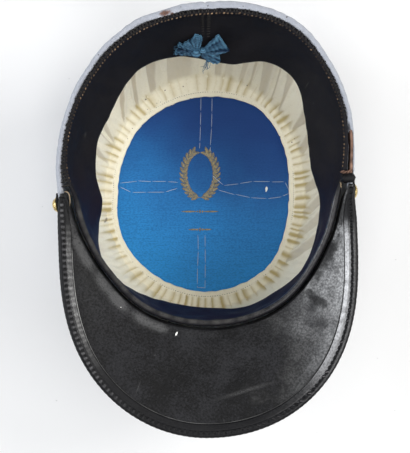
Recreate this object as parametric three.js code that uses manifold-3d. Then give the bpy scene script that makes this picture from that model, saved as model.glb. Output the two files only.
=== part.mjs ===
// A cloth kepi with a leather peak, lying upside down on its crown.
// Millimetres, +Z up. The origin is the middle of the crown's flat top, which is on the ground, so that
// the head opening looks up. The peak points to -Y, the back of the head is at +Y.
import * as THREE from "three";
import { mergeVertices } from "three/addons/utils/BufferGeometryUtils.js";
import Module from "manifold-3d";

const wasm = await Module();
wasm.setup();

// Driving dimensions.
const GAP = 0.35; // between neighbouring pieces
const CROWN_HALF_WIDTH = 68.5;
const CROWN_HALF_LENGTH = 79;
const CROWN_TOP_THICKNESS = 2.4;
const RIM_CENTRE_Y = 11; // the head opening is further back than the crown
const RIM_FRONT_Y = -83;
const RIM_REAR_Y = 108;
const RIM_FRONT_HEIGHT = 82;
const RIM_REAR_HEIGHT = 116;
const WALL_BULGE = 0.5; // how far the wall swells over the straight line from crown to rim
const CLOTH_THICKNESS = 2.2;
const BAND_HEIGHT = 38;
const BAND_INNER = 2.4; // from the wall's face to the band's inner face, at the rim
const BAND_PROUD = 1.1; // how far the band stands out of the wall's face
const SWEATBAND_THICKNESS = 1.2;
const SWEATBAND_DEPTH = 41; // height from the rim down to the free edge
const SWEATBAND_LEAN = 0.4; // how soon it leans in: 0 stands up at the rim, 1 is a straight slope
const SWEATBAND_TOP_DROP = 0.2; // its top is this much under the rim at the back
const SWEATBAND_FRONT_LIFT = 2.6; // its rolled top stands this much higher where the peak is sewn in
const SWEATBAND_ROLL = 1.2; // and is thicker there, by this much on each side
const SATIN_HALF_WIDTH = 59.5;
const SATIN_HALF_LENGTH = 67.2;
const SATIN_THICKNESS = 1;
const LINING_THICKNESS = 1;
const LINING_TOP_GAP = 2; // its wall ends this far under the sweatband's free edge
const LINING_CREASE = 0.6; // and its floor this far short of the wall
const GATHERS = 40;
const GATHER_UNEVEN = 0.2; // share by which the gathers differ in height
const GATHER_BEATS = 7; // how often they rise and fall round the crown
const PEAK_THICKNESS = 2;
const PEAK_CLEAR = 4; // the peak starts this far out from the middle of the sweatband's top
const PEAK_REACH = 57.2; // level distance from the rim to the tip
const PEAK_DROP = 30; // height of the tip over the rim's plane
const PEAK_DROP_TAPER = 1.2; // how fast that height falls off to the ends
const PEAK_END_CUT = 2; // degrees by which the leather stops short of its ends
const PEAK_FADE = 0.86; // share of each half at which the sweatband's roll begins to fade
// Each half of the peak: degrees from the front, how long the reach holds and how fast it falls off then.
const PEAK_LEFT = { end: 83, hold: 1.92, taper: 2.68 };
const PEAK_RIGHT = { end: 87, hold: 2.22, taper: 2.97 };
const BINDING_WIDTH = 6;
const BINDING_THICKNESS = 0.8;
const BINDING_SHARE = 0.6; // it is at most this share of the peak's reach
const BINDING_END_CUT = 12; // degrees by which it stops short of the peak's ends
const STRAP_WIDTH = 9;
const STRAP_THICKNESS = 1.3;
const STRAP_DOWN = 4; // from the rim to the strap's near edge
const STRAP_TIP = 4.5; // degrees that the strap runs on past each button
const BUTTON_RADIUS = 4.6;
const BUTTON_SHANK_RADIUS = 1.4;
const BUTTON_DOME = 2.2;
const STIFFENER_START = 87;
const STIFFENER_END = 112;
const STIFFENER_DEPTH = 4;
const STIFFENER_THICKNESS = 1.2;
const STIFFENER_PROUD = -1; // its middle, from the wall's face
const STIFFENER_TOP_DOWN = 0.1; // its top edge, from the rim
const STIFFENER_SLOT_ENDS = 0.4; // degrees of room at each end of its slot
const STIFFENER_SLOT_OVER = 2; // the slot's cut runs on this far over the rim

// How many flats stand for each round.
const WALL_STEPS = 60;
const SWEATBAND_STEPS = 64;
const STEPS_PER_GATHER = 4;
const PEAK_STEPS = 34;
const PEAK_ROWS = 5;
const STRAP_STEPS = 30;
const BUTTON_STEPS = 16;
const HOLE_STEPS = 10;
const STIFFENER_STEPS = 9;
const CROWN_SIDE_ROWS = 4;

// Angles are in degrees from the front, towards +X.
// Plan of the rim: distance from the middle of the head opening.
const RIM_PLAN = [
  { angle: 0, radius: 98.8 },
  { angle: 30, radius: 98.6 },
  { angle: 60, radius: 91.3 },
  { angle: 90, radius: 87.7 },
  { angle: 120, radius: 94.2 },
  { angle: 150, radius: 101 },
  { angle: 180, radius: 96.9 },
  { angle: 210, radius: 94.6 },
  { angle: 240, radius: 89.6 },
  { angle: 270, radius: 87.8 },
  { angle: 300, radius: 91 },
  { angle: 330, radius: 97.6 },
];

// Plan of the hem round the satin: distance from the middle of the crown.
const HEM_PLAN = [
  { angle: 0, radius: 64.4 },
  { angle: 30, radius: 60 },
  { angle: 60, radius: 57.6 },
  { angle: 90, radius: 56 },
  { angle: 120, radius: 60.7 },
  { angle: 150, radius: 65.1 },
  { angle: 180, radius: 64.3 },
  { angle: 210, radius: 62.4 },
  { angle: 240, radius: 59.5 },
  { angle: 270, radius: 57.7 },
  { angle: 300, radius: 60.6 },
  { angle: 330, radius: 63.3 },
];

// Top of the sweatband: how far its middle is in from the rim. In front the peak's seam holds it off.
const SWEATBAND_CREST = [
  { angle: 0, inset: 7.2 },
  { angle: 25, inset: 7.6 },
  { angle: 44, inset: 8.6 },
  { angle: 62, inset: 8.7 },
  { angle: 78, inset: 8.4 },
  { angle: 90, inset: 4.6 },
  { angle: 100, inset: 3.6 },
  { angle: 115, inset: 3.5 },
  { angle: 245, inset: 3.5 },
  { angle: 263, inset: 3.6 },
  { angle: 272, inset: 4.8 },
  { angle: 281, inset: 9.2 },
  { angle: 294, inset: 10.6 },
  { angle: 307, inset: 12.6 },
  { angle: 320, inset: 12.4 },
  { angle: 338, inset: 9.2 },
];

// The free edge of the sweatband leans in from the rim, in soft waves.
const SWEATBAND_WAVES = [
  { angle: 0, inset: 14.5 },
  { angle: 15, inset: 12 },
  { angle: 30, inset: 12.4 },
  { angle: 60, inset: 10.6 },
  { angle: 75, inset: 14.4 },
  { angle: 90, inset: 20.5 },
  { angle: 105, inset: 23.8 },
  { angle: 120, inset: 22 },
  { angle: 135, inset: 18.1 },
  { angle: 150, inset: 22.2 },
  { angle: 165, inset: 30 },
  { angle: 180, inset: 27.8 },
  { angle: 195, inset: 22.6 },
  { angle: 215, inset: 18 },
  { angle: 240, inset: 19.7 },
  { angle: 257, inset: 17.8 },
  { angle: 283, inset: 20.7 },
  { angle: 295, inset: 17 },
  { angle: 308, inset: 9.9 },
  { angle: 320, inset: 9.6 },
  { angle: 331, inset: 11.8 },
  { angle: 342, inset: 13.9 },
];

// Section of the band: distance down from the rim, and how proud of the wall's face.
const BAND_SECTION = [
  { down: BAND_HEIGHT, proud: 0.7 },
  { down: 20, proud: BAND_PROUD },
  { down: 3.5, proud: 0.8 },
  { down: 1, proud: 0.5 },
  { down: 0, proud: -0.5 },
  { down: 0, proud: -1.7 },
  { down: 1, proud: -BAND_INNER },
  { down: 20, proud: -CLOTH_THICKNESS },
  { down: BAND_HEIGHT, proud: -CLOTH_THICKNESS },
];

// Rows of the sweatband from the rim, at 0, to the free edge, at 1. roll is the share of its rolled top.
const SWEATBAND_ROWS = [
  { t: 0, roll: 0.6 },
  { t: 0.05, roll: 1 },
  { t: 0.13, roll: 0.5 },
  { t: 0.3, roll: 0 },
  { t: 0.65, roll: 0 },
  { t: 1, roll: 0 },
];

// Rows of the lining, from the hem over the satin to its top behind the sweatband. reach is the share of
// the way across the floor, climb the share of the way up the wall, ripple the height of the gathers and
// fold the share of the large folds.
const LINING_ROWS = [
  { reach: 0, climb: 0, ripple: 0.15, fold: 0 },
  { reach: 0.4, climb: 0, ripple: 0.5, fold: 0 },
  { reach: 0.92, climb: 0, ripple: 1.1, fold: 0.3 },
  { reach: 1, climb: 0.08, ripple: 1.1, fold: 0.8 },
  { reach: 1, climb: 0.5, ripple: 0.9, fold: 1 },
  { reach: 1, climb: 1, ripple: 0.2, fold: 0 },
];

// Large soft folds of the lining's wall.
const LINING_FOLDS = [
  { angle: 62, width: 7, depth: 1.6 },
  { angle: 96, width: 9, depth: 2.4 },
  { angle: 128, width: 8, depth: 2.2 },
  { angle: 152, width: 7, depth: 2.8 },
  { angle: 176, width: 9, depth: 2.4 },
  { angle: 205, width: 8, depth: 3 },
  { angle: 232, width: 7, depth: 2.6 },
  { angle: 262, width: 9, depth: 2.2 },
  { angle: 296, width: 8, depth: 1.8 },
];

// Buttons at the ends of the chin strap.
const BUTTONS = [
  { name: "button_left", angle: -77.5 },
  { name: "button_right", angle: 82.5 },
];

// Leaves of the ribbon bow: across is towards +X and up is towards the rim, both from the knot.
const BOW_LEAVES = [
  { across: -5, up: 15, width: 10, lift: 3.4 },
  { across: -13.5, up: 1.5, width: 6, lift: 3.6 },
  { across: 14.5, up: 13, width: 10.5, lift: 3.8 },
  { across: 13, up: -5, width: 7.5, lift: 3.6 },
];
const BOW_ANGLE = 184;
const BOW_DEPTH_SHARE = 0.86;
const BOW_KNOT = { across: 3.6, up: 3.2, thick: 2.4 };
const BOW_RIBBON_THICKNESS = 1.1;
const BOW_WAIST = 2.8; // width of a leaf at the knot

const UP = new THREE.Vector3(0, 0, 1);

const radians = THREE.MathUtils.degToRad;

const lerp = THREE.MathUtils.lerp;

// Reads a column of a table by angle, on a smooth curve that closes after a full turn.
function aroundTurn(table, column, angle) {
  const at = THREE.MathUtils.euclideanModulo(angle, 360);
  const count = table.length;
  const here = table.findLastIndex((row) => row.angle <= at);
  const knot = (i) => ({
    angle: table[(i + count) % count].angle + 360 * Math.floor(i / count),
    value: table[(i + count) % count][column],
  });
  const [before, start, end, after] = [here - 1, here, here + 1, here + 2].map(knot);
  const span = end.angle - start.angle;
  const t = (at - start.angle) / span;
  const startSlope = ((end.value - before.value) / (end.angle - before.angle)) * span;
  const endSlope = ((after.value - start.value) / (after.angle - start.angle)) * span;
  const rise = end.value - start.value;
  const bend = 3 * rise - 2 * startSlope - endSlope;
  const twist = startSlope + endSlope - 2 * rise;
  return start.value + t * (startSlope + t * (bend + t * twist));
}

// Shortest way from one angle to another, in degrees.
function turnBetween(from, to) {
  return THREE.MathUtils.euclideanModulo(to - from + 180, 360) - 180;
}

// A number of angles evenly spread over a range, both ends included.
function spread(start, end, steps) {
  return Array.from({ length: steps + 1 }, (_, i) => lerp(start, end, i / steps));
}

// Angles for a ring: a full turn without its last angle.
function fullTurn(steps) {
  return spread(0, 360, steps).slice(0, -1);
}

// A solid skinned over a row of sections. Each section is a closed loop whose first half runs along one
// face and whose second half comes back along the other. The row closes on itself or is capped.
function skin(sections, closed) {
  const size = sections[0].length;
  const rows = sections.length;
  const positions = sections.flat().flatMap((point) => point.toArray());
  const index = [];
  const corner = (row, k) => (row % rows) * size + (k % size);
  const quad = (a, b, c, d) => index.push(a, b, c, a, c, d);
  for (let row = 0; row < (closed ? rows : rows - 1); row++) {
    for (let k = 0; k < size; k++) {
      quad(corner(row, k), corner(row + 1, k), corner(row + 1, k + 1), corner(row, k + 1));
    }
  }
  if (!closed) {
    for (let k = 0; k < size / 2 - 1; k++) {
      const back = size - 1 - k;
      quad(corner(0, k), corner(0, k + 1), corner(0, back - 1), corner(0, back));
      quad(corner(rows - 1, back), corner(rows - 1, back - 1), corner(rows - 1, k + 1), corner(rows - 1, k));
    }
  }
  const geometry = new THREE.BufferGeometry();
  geometry.setAttribute("position", new THREE.Float32BufferAttribute(positions, 3));
  geometry.setIndex(index);
  return geometry;
}

// A geometry as a closed solid that can be joined and cut.
function toSolid(geometry) {
  const bare = new THREE.BufferGeometry();
  bare.setAttribute("position", geometry.getAttribute("position").clone());
  bare.setIndex(geometry.index);
  const merged = mergeVertices(bare, 1e-4);
  const mesh = new wasm.Mesh({
    numProp: 3,
    vertProperties: new Float32Array(merged.getAttribute("position").array),
    triVerts: new Uint32Array(merged.index.array),
  });
  return new wasm.Manifold(mesh);
}

// A closed solid as a geometry again.
function toGeometry(solid) {
  const mesh = solid.getMesh();
  const geometry = new THREE.BufferGeometry();
  geometry.setAttribute("position", new THREE.Float32BufferAttribute(mesh.vertProperties, mesh.numProp));
  geometry.setIndex(Array.from(mesh.triVerts));
  return geometry;
}

// Height of the rim's tilted plane.
function rimPlane(y) {
  const share = (y - RIM_FRONT_Y) / (RIM_REAR_Y - RIM_FRONT_Y);
  return lerp(RIM_FRONT_HEIGHT, RIM_REAR_HEIGHT, share);
}

// A point at a distance from the middle of the head opening, in plan.
function planPoint(angle, radius) {
  const turn = radians(angle);
  return new THREE.Vector3(radius * Math.sin(turn), RIM_CENTRE_Y - radius * Math.cos(turn), 0);
}

// The rim's outer edge.
const rimRadius = (angle) => aroundTurn(RIM_PLAN, "radius", angle);

function rimPoint(angle) {
  const point = planPoint(angle, rimRadius(angle));
  return point.setZ(rimPlane(point.y));
}

// A point on an ellipse round the crown's middle.
function ovalPoint(angle, halfWidth, halfLength) {
  const turn = radians(angle);
  return new THREE.Vector3(halfWidth * Math.sin(turn), -halfLength * Math.cos(turn), 0);
}

// The outer face of the cloth wall: rise is 0 at the crown's edge and 1 at the rim.
function wallFace(angle, rise) {
  const foot = ovalPoint(angle, CROWN_HALF_WIDTH, CROWN_HALF_LENGTH);
  const rim = rimPoint(angle);
  const share = rise + WALL_BULGE * rise * (1 - rise);
  return new THREE.Vector3(lerp(foot.x, rim.x, share), lerp(foot.y, rim.y, share), rim.z * rise);
}

// Direction straight out of the cloth wall.
function wallNormal(angle, rise) {
  const along = wallFace(angle + 0.5, rise).sub(wallFace(angle - 0.5, rise));
  const up = wallFace(angle, rise + 0.01).sub(wallFace(angle, rise - 0.01));
  return along.cross(up).normalize();
}

// A point proud of the wall's face by so much.
function wallPoint(angle, rise, proud) {
  return wallFace(angle, rise).addScaledVector(wallNormal(angle, rise), proud);
}

// Rise of the wall at a height above the ground, and at a height down from the rim.
const riseAt = (angle, z) => z / rimPoint(angle).z;
const riseDown = (angle, down) => 1 - down / rimPoint(angle).z;

// A solid of flat section that follows the wall between two edges, between two faces.
function wallStrip(angles, { near, far, outer, inner }) {
  const sections = angles.map((angle) => [
    wallPoint(angle, riseDown(angle, far), outer),
    wallPoint(angle, riseDown(angle, near), outer),
    wallPoint(angle, riseDown(angle, near), inner),
    wallPoint(angle, riseDown(angle, far), inner),
  ]);
  return skin(sections, false);
}

// A flat oval plate with a softened edge, its underside at a height.
function ovalPlate(halfWidth, halfLength, thickness, base, steps) {
  const profile = [
    new THREE.Vector2(0, 0),
    new THREE.Vector2(0.985, 0),
    new THREE.Vector2(1, 0.35 * thickness),
    new THREE.Vector2(1, 0.7 * thickness),
    new THREE.Vector2(0.985, thickness),
    new THREE.Vector2(0, thickness),
  ];
  const plate = new THREE.LatheGeometry(profile, steps);
  plate.rotateX(Math.PI / 2);
  plate.scale(halfWidth, halfLength, 1);
  plate.translate(0, 0, base);
  return plate;
}

function crownSide() {
  const foot = CROWN_TOP_THICKNESS + GAP;
  const shares = spread(0, 1, CROWN_SIDE_ROWS);
  const sections = fullTurn(WALL_STEPS).map((angle) => {
    const low = riseAt(angle, foot);
    const high = riseDown(angle, BAND_HEIGHT + GAP);
    const face = shares.map((share) => wallPoint(angle, lerp(low, high, share), 0));
    const back = shares.map((share) => wallPoint(angle, lerp(low, high, share), -CLOTH_THICKNESS));
    return [...face, ...back.reverse()];
  });
  return skin(sections, true);
}

// An upright strip in the rim's worn stretch, where the edge of the stiffener shows. room is the space
// left round it, and near its top edge's distance down from the rim.
function rimStrip(near, room, ends) {
  const half = STIFFENER_THICKNESS / 2 + room;
  const faces = { outer: STIFFENER_PROUD + half, inner: STIFFENER_PROUD - half };
  const angles = spread(STIFFENER_START - ends, STIFFENER_END + ends, STIFFENER_STEPS);
  return wallStrip(angles, { near, far: STIFFENER_DEPTH + room, ...faces });
}

function band() {
  const sections = fullTurn(WALL_STEPS).map((angle) =>
    BAND_SECTION.map(({ down, proud }) => wallPoint(angle, riseDown(angle, down), proud)),
  );
  const slot = rimStrip(-STIFFENER_SLOT_OVER, GAP, STIFFENER_SLOT_ENDS);
  return toGeometry(toSolid(skin(sections, true)).subtract(toSolid(slot)));
}

function stiffener() {
  return rimStrip(STIFFENER_TOP_DOWN, 0, 0);
}

// The half of the peak that an angle is on.
const peakHalf = (angle) => (angle < 0 ? PEAK_LEFT : PEAK_RIGHT);

// How far an angle is along its half of the peak, from 0 at the front to 1 at the end.
function peakShare(angle) {
  return Math.min(1, Math.abs(angle) / peakHalf(angle).end);
}

// 1 where the peak is sewn in, falling to 0 past its ends.
function behindPeak(angle) {
  return 1 - THREE.MathUtils.smoothstep(peakShare(turnBetween(0, angle)), PEAK_FADE, 1);
}

// The middle of the sweatband: t is 0 at the rim and 1 at the free edge.
function sweatbandMiddle(angle, t) {
  const rim = rimPoint(angle);
  const top = planPoint(angle, rimRadius(angle) - aroundTurn(SWEATBAND_CREST, "inset", angle));
  top.z = rim.z + lerp(-SWEATBAND_TOP_DROP, SWEATBAND_FRONT_LIFT, behindPeak(angle));
  const edge = planPoint(angle, rimRadius(angle) - aroundTurn(SWEATBAND_WAVES, "inset", angle));
  edge.z = rim.z - SWEATBAND_DEPTH;
  const lean = t * lerp(SWEATBAND_LEAN, 1, t);
  return new THREE.Vector3(lerp(top.x, edge.x, lean), lerp(top.y, edge.y, lean), lerp(top.z, edge.z, t));
}

// A point proud of the sweatband's middle, outwards.
function sweatbandPoint(angle, t, proud) {
  const along = sweatbandMiddle(angle + 0.5, t).sub(sweatbandMiddle(angle - 0.5, t));
  const up = sweatbandMiddle(angle, t - 0.01).sub(sweatbandMiddle(angle, t + 0.01));
  return sweatbandMiddle(angle, t).addScaledVector(along.cross(up).normalize(), proud);
}

function sweatband() {
  const sections = fullTurn(SWEATBAND_STEPS).map((angle) => {
    const swell = SWEATBAND_ROLL * behindPeak(angle);
    const halves = SWEATBAND_ROWS.map(({ roll }) => SWEATBAND_THICKNESS / 2 + swell * roll);
    const outer = SWEATBAND_ROWS.map(({ t }, i) => sweatbandPoint(angle, t, halves[i]));
    const inner = SWEATBAND_ROWS.map(({ t }, i) => sweatbandPoint(angle, t, -halves[i]));
    return [...outer.reverse(), ...inner];
  });
  return skin(sections, true);
}

// Depth of the large folds of the lining at an angle.
function foldDepth(angle) {
  return LINING_FOLDS.reduce((sum, fold) => {
    const away = turnBetween(fold.angle, angle) / fold.width;
    return sum + fold.depth * Math.exp(-away * away);
  }, 0);
}

// One point of the lining, its distance off the floor or wall given by lift.
function liningPoint(angle, { reach, climb }, lift) {
  const floor = CROWN_TOP_THICKNESS + SATIN_THICKNESS + 2 * GAP;
  const inside = -(CLOTH_THICKNESS + GAP);
  if (climb > 0) {
    const top = rimPoint(angle).z - SWEATBAND_DEPTH - LINING_TOP_GAP;
    const rise = riseAt(angle, lerp(floor, top, climb));
    const out = wallNormal(angle, rise);
    return wallFace(angle, rise).addScaledVector(out, inside - lift);
  }
  const hemRadius = aroundTurn(HEM_PLAN, "radius", angle);
  const hem = ovalPoint(angle, hemRadius, hemRadius);
  const crease = wallPoint(angle, riseAt(angle, floor), inside - LINING_CREASE);
  return hem.lerp(crease, reach).setZ(floor + lift);
}

function lining() {
  const sections = fullTurn(GATHERS * STEPS_PER_GATHER).map((angle) => {
    const gather = 0.5 - 0.5 * Math.cos(radians(angle * GATHERS));
    const uneven = 1 - GATHER_UNEVEN * (1 - Math.sin(radians(angle * GATHER_BEATS)));
    const lifts = LINING_ROWS.map((row) => row.ripple * gather * uneven + row.fold * foldDepth(angle));
    const hidden = LINING_ROWS.map((row, i) => liningPoint(angle, row, lifts[i]));
    const shown = LINING_ROWS.map((row, i) => liningPoint(angle, row, lifts[i] + LINING_THICKNESS));
    return [...hidden, ...shown.reverse()];
  });
  return skin(sections, true);
}

// How far the peak reaches beyond the rim, and how high its edge stands over the rim's plane.
function peakReach(angle) {
  const { hold, taper } = peakHalf(angle);
  return PEAK_REACH * (1 - peakShare(angle) ** hold) ** taper;
}

function peakDrop(angle) {
  return PEAK_DROP * Math.cos((peakShare(angle) * Math.PI) / 2) ** PEAK_DROP_TAPER;
}

// The peak's face towards the crown: t is 0 at the root, which lies on the band's rim, and 1 at the edge.
function peakFace(angle, t) {
  const root = rimRadius(angle) + PEAK_CLEAR - aroundTurn(SWEATBAND_CREST, "inset", angle);
  const point = planPoint(angle, lerp(root, rimRadius(angle) + peakReach(angle), t));
  return point.setZ(rimPlane(point.y) + GAP + peakDrop(angle) * t);
}

// Directions at a place on the peak: out of its underside, and outwards along it.
function peakFrame(angle, t) {
  const along = peakFace(angle + 0.5, t).sub(peakFace(angle - 0.5, t));
  const slope = peakFace(angle, t + 0.02).sub(peakFace(angle, t - 0.02));
  const normal = slope.cross(along).normalize();
  return { normal, out: along.cross(normal).normalize() };
}

function peak() {
  const shares = spread(1, 0, PEAK_ROWS);
  const angles = spread(PEAK_END_CUT - PEAK_LEFT.end, PEAK_RIGHT.end - PEAK_END_CUT, PEAK_STEPS);
  const sections = angles.map((angle) => {
    const under = shares.map((t) => {
      const thick = UP.clone().lerp(peakFrame(angle, t).normal, t).normalize();
      return peakFace(angle, t).addScaledVector(thick, PEAK_THICKNESS);
    });
    const over = shares.map((t) => peakFace(angle, t));
    return [...under, ...over.reverse()];
  });
  return skin(sections, false);
}

// A leather strip folded over the peak's edge.
function peakBinding() {
  const angles = spread(BINDING_END_CUT - PEAK_LEFT.end, PEAK_RIGHT.end - BINDING_END_CUT, PEAK_STEPS);
  const sections = angles.map((angle) => {
    const { normal, out } = peakFrame(angle, 1);
    const width = Math.min(BINDING_WIDTH, BINDING_SHARE * peakReach(angle));
    const edge = peakFace(angle, 1);
    const place = (outwards, height) => {
      const point = edge.clone().addScaledVector(out, outwards);
      return point.addScaledVector(normal, height);
    };
    const top = PEAK_THICKNESS + GAP;
    const skinTop = top + BINDING_THICKNESS;
    const skinLow = -GAP - BINDING_THICKNESS;
    const rim = GAP + BINDING_THICKNESS;
    return [
      place(-width, skinLow),
      place(rim, skinLow),
      place(rim, skinTop),
      place(-width, skinTop),
      place(-width, top),
      place(GAP, top),
      place(GAP, -GAP),
      place(-width, -GAP),
    ];
  });
  return skin(sections, false);
}

// The strap's inner face, from the wall's face.
const STRAP_INNER = BAND_PROUD + GAP;

// Where a button's shank ends, under the strap, and straight out of there.
function buttonSeat(angle) {
  const rise = riseDown(angle, STRAP_DOWN + STRAP_WIDTH / 2);
  return { foot: wallPoint(angle, rise, STRAP_INNER), out: wallNormal(angle, rise) };
}

// Turns a geometry that stands on +Y so that it stands out of the strap at a button.
function standOut(geometry, angle) {
  const { foot, out } = buttonSeat(angle);
  const turn = new THREE.Quaternion().setFromUnitVectors(new THREE.Vector3(0, 1, 0), out);
  geometry.applyQuaternion(turn);
  geometry.translate(foot.x, foot.y, foot.z);
  return geometry;
}

function chinStrap() {
  const [left, right] = BUTTONS.map((button) => button.angle);
  const angles = spread(left - STRAP_TIP, right + STRAP_TIP, STRAP_STEPS);
  const edges = { near: STRAP_DOWN, far: STRAP_DOWN + STRAP_WIDTH };
  const faces = { outer: STRAP_INNER + STRAP_THICKNESS, inner: STRAP_INNER };
  const strap = wallStrip(angles, { ...edges, ...faces });
  const radius = BUTTON_SHANK_RADIUS + GAP;
  const drill = (angle) => {
    const hole = new THREE.CylinderGeometry(radius, radius, 6 * STRAP_THICKNESS, HOLE_STEPS);
    return toSolid(standOut(hole, angle));
  };
  return toGeometry(toSolid(strap).subtract(drill(left)).subtract(drill(right)));
}

// A domed button on a shank that goes through the strap.
function button(angle) {
  const back = STRAP_THICKNESS + GAP;
  const profile = [
    new THREE.Vector2(0, 0),
    new THREE.Vector2(BUTTON_SHANK_RADIUS, 0),
    new THREE.Vector2(BUTTON_SHANK_RADIUS, back),
    new THREE.Vector2(BUTTON_RADIUS - 0.3, back),
    new THREE.Vector2(BUTTON_RADIUS, back + 0.15 * BUTTON_DOME),
    new THREE.Vector2(BUTTON_RADIUS - 0.4, back + 0.36 * BUTTON_DOME),
    new THREE.Vector2(BUTTON_RADIUS * 0.7, back + 0.74 * BUTTON_DOME),
    new THREE.Vector2(BUTTON_RADIUS * 0.36, back + 0.94 * BUTTON_DOME),
    new THREE.Vector2(0, back + BUTTON_DOME),
  ];
  return standOut(new THREE.LatheGeometry(profile, BUTTON_STEPS), angle);
}

// A flat leaf of ribbon from the knot to its tip, wider towards the tip.
function bowLeaf({ across, up, width, lift }) {
  const length = Math.hypot(across, up);
  const outline = new THREE.Shape();
  outline.moveTo(0, -BOW_WAIST / 2);
  outline.lineTo(length * 0.8, -width / 2);
  outline.quadraticCurveTo(length * 1.06, -width / 4, length, 0);
  outline.quadraticCurveTo(length * 1.06, width / 4, length * 0.8, width / 2);
  outline.lineTo(0, BOW_WAIST / 2);
  outline.closePath();
  const options = { depth: BOW_RIBBON_THICKNESS, bevelEnabled: false, curveSegments: 3 };
  const leaf = new THREE.ExtrudeGeometry(outline, options);
  leaf.translate(0, 0, -BOW_RIBBON_THICKNESS / 2);
  leaf.rotateY(-Math.atan2(lift, length));
  leaf.rotateZ(Math.atan2(up, across));
  return leaf;
}

// The bow lies on the inner face of the sweatband at the back of the head.
function ribbonBow() {
  const knot = new THREE.SphereGeometry(1, 12, 8);
  knot.scale(BOW_KNOT.across, BOW_KNOT.up, BOW_KNOT.thick);
  const bow = BOW_LEAVES.reduce((sum, leaf) => sum.add(toSolid(bowLeaf(leaf))), toSolid(knot));
  const geometry = toGeometry(bow);
  const face = sweatbandPoint(BOW_ANGLE, BOW_DEPTH_SHARE, -SWEATBAND_THICKNESS / 2);
  const inwards = sweatbandPoint(BOW_ANGLE, BOW_DEPTH_SHARE, -SWEATBAND_THICKNESS).sub(face).normalize();
  const sideways = UP.clone().cross(inwards).normalize();
  const upwards = inwards.clone().cross(sideways).normalize();
  const place = new THREE.Matrix4().makeBasis(sideways, upwards, inwards);
  place.setPosition(face.addScaledVector(inwards, BOW_KNOT.thick + GAP));
  geometry.applyMatrix4(place);
  return geometry;
}

// Finishes of the visible surfaces.
const FINISHES = {
  paleBlueCloth: { color: 0x9fb0c8, roughness: 0.95, metalness: 0 },
  blackLeather: { color: 0x1d1d22, roughness: 0.5, metalness: 0 },
  creamSilk: { color: 0xd9d0b4, roughness: 0.5, metalness: 0 },
  blueSatin: { color: 0x1c5aa6, roughness: 0.4, metalness: 0 },
  giltBrass: { color: 0xc9a552, roughness: 0.3, metalness: 1 },
  blueRibbon: { color: 0x2f6288, roughness: 0.6, metalness: 0 },
  tanBuckram: { color: 0xb08a70, roughness: 0.9, metalness: 0 },
};

function piece(name, geometry, finish) {
  const mesh = new THREE.Mesh(geometry, new THREE.MeshStandardMaterial(FINISHES[finish]));
  mesh.name = name;
  return mesh;
}

const kepi = new THREE.Group();
const crownTop = ovalPlate(CROWN_HALF_WIDTH, CROWN_HALF_LENGTH, CROWN_TOP_THICKNESS, 0, WALL_STEPS);
const satinBase = CROWN_TOP_THICKNESS + GAP;
const satin = ovalPlate(SATIN_HALF_WIDTH, SATIN_HALF_LENGTH, SATIN_THICKNESS, satinBase, WALL_STEPS);
kepi.add(
  piece("crown_top", crownTop, "paleBlueCloth"),
  piece("crown_side", crownSide(), "paleBlueCloth"),
  piece("band", band(), "paleBlueCloth"),
  piece("stiffener", stiffener(), "tanBuckram"),
  piece("sweatband", sweatband(), "blackLeather"),
  piece("lining", lining(), "creamSilk"),
  piece("crown_lining", satin, "blueSatin"),
  piece("peak", peak(), "blackLeather"),
  piece("peak_binding", peakBinding(), "blackLeather"),
  piece("chin_strap", chinStrap(), "blackLeather"),
  ...BUTTONS.map(({ name, angle }) => piece(name, button(angle), "giltBrass")),
  piece("ribbon_bow", ribbonBow(), "blueRibbon"),
);

export default kepi;
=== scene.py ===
"""Dresses a cloth kepi with a leather peak, which lies upside down on its crown.

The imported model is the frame. Each sub-assembly is a class. Its fields are sizes in millimetres and
degrees, and its methods make the meshes and give them their finish. Angles run from the front, at -Y,
towards +X.
"""

import logging
import math
from collections.abc import Sequence
from dataclasses import dataclass, field
from enum import Enum, IntEnum
from typing import Any

import bpy
import numpy as np
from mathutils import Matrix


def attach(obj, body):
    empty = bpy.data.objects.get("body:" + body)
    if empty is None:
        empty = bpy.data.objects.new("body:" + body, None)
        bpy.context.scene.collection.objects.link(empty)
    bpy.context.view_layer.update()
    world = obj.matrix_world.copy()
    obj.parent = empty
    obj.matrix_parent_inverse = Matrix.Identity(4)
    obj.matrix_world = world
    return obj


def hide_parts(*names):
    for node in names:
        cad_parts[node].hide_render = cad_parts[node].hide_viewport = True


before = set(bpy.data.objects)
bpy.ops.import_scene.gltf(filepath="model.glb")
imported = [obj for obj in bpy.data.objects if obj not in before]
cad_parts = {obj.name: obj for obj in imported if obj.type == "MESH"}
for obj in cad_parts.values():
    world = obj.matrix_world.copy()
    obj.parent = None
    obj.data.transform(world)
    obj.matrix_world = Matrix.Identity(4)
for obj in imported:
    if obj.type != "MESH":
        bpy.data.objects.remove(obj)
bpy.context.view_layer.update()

MM = 0.001  # metres in a millimetre
GAP = 0.35  # between neighbouring pieces, as in the solids
TAU = 2.0 * math.pi
UP = np.array([0.0, 0.0, 1.0])

Array = np.ndarray
Number = Array | float
Colour = tuple[float, float, float]
Place = tuple[float, float]
Piece = bpy.types.Object
Material = bpy.types.Material

log = logging.getLogger("kepi")


class Slot(Enum):
    """The record's material slots."""

    CLOTH = "cloth"
    BUCKRAM = "buckram"
    SWEATBAND = "sweatband_leather"
    SILK = "silk"
    SATIN = "satin"
    PEAK = "peak_leather"
    GILT = "gilt"
    RIBBON = "ribbon"


class Closing(Enum):
    """How rows of looped sections close."""

    RING = "the last row joins the first"
    CAPPED = "the first and last rows are filled"


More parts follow.
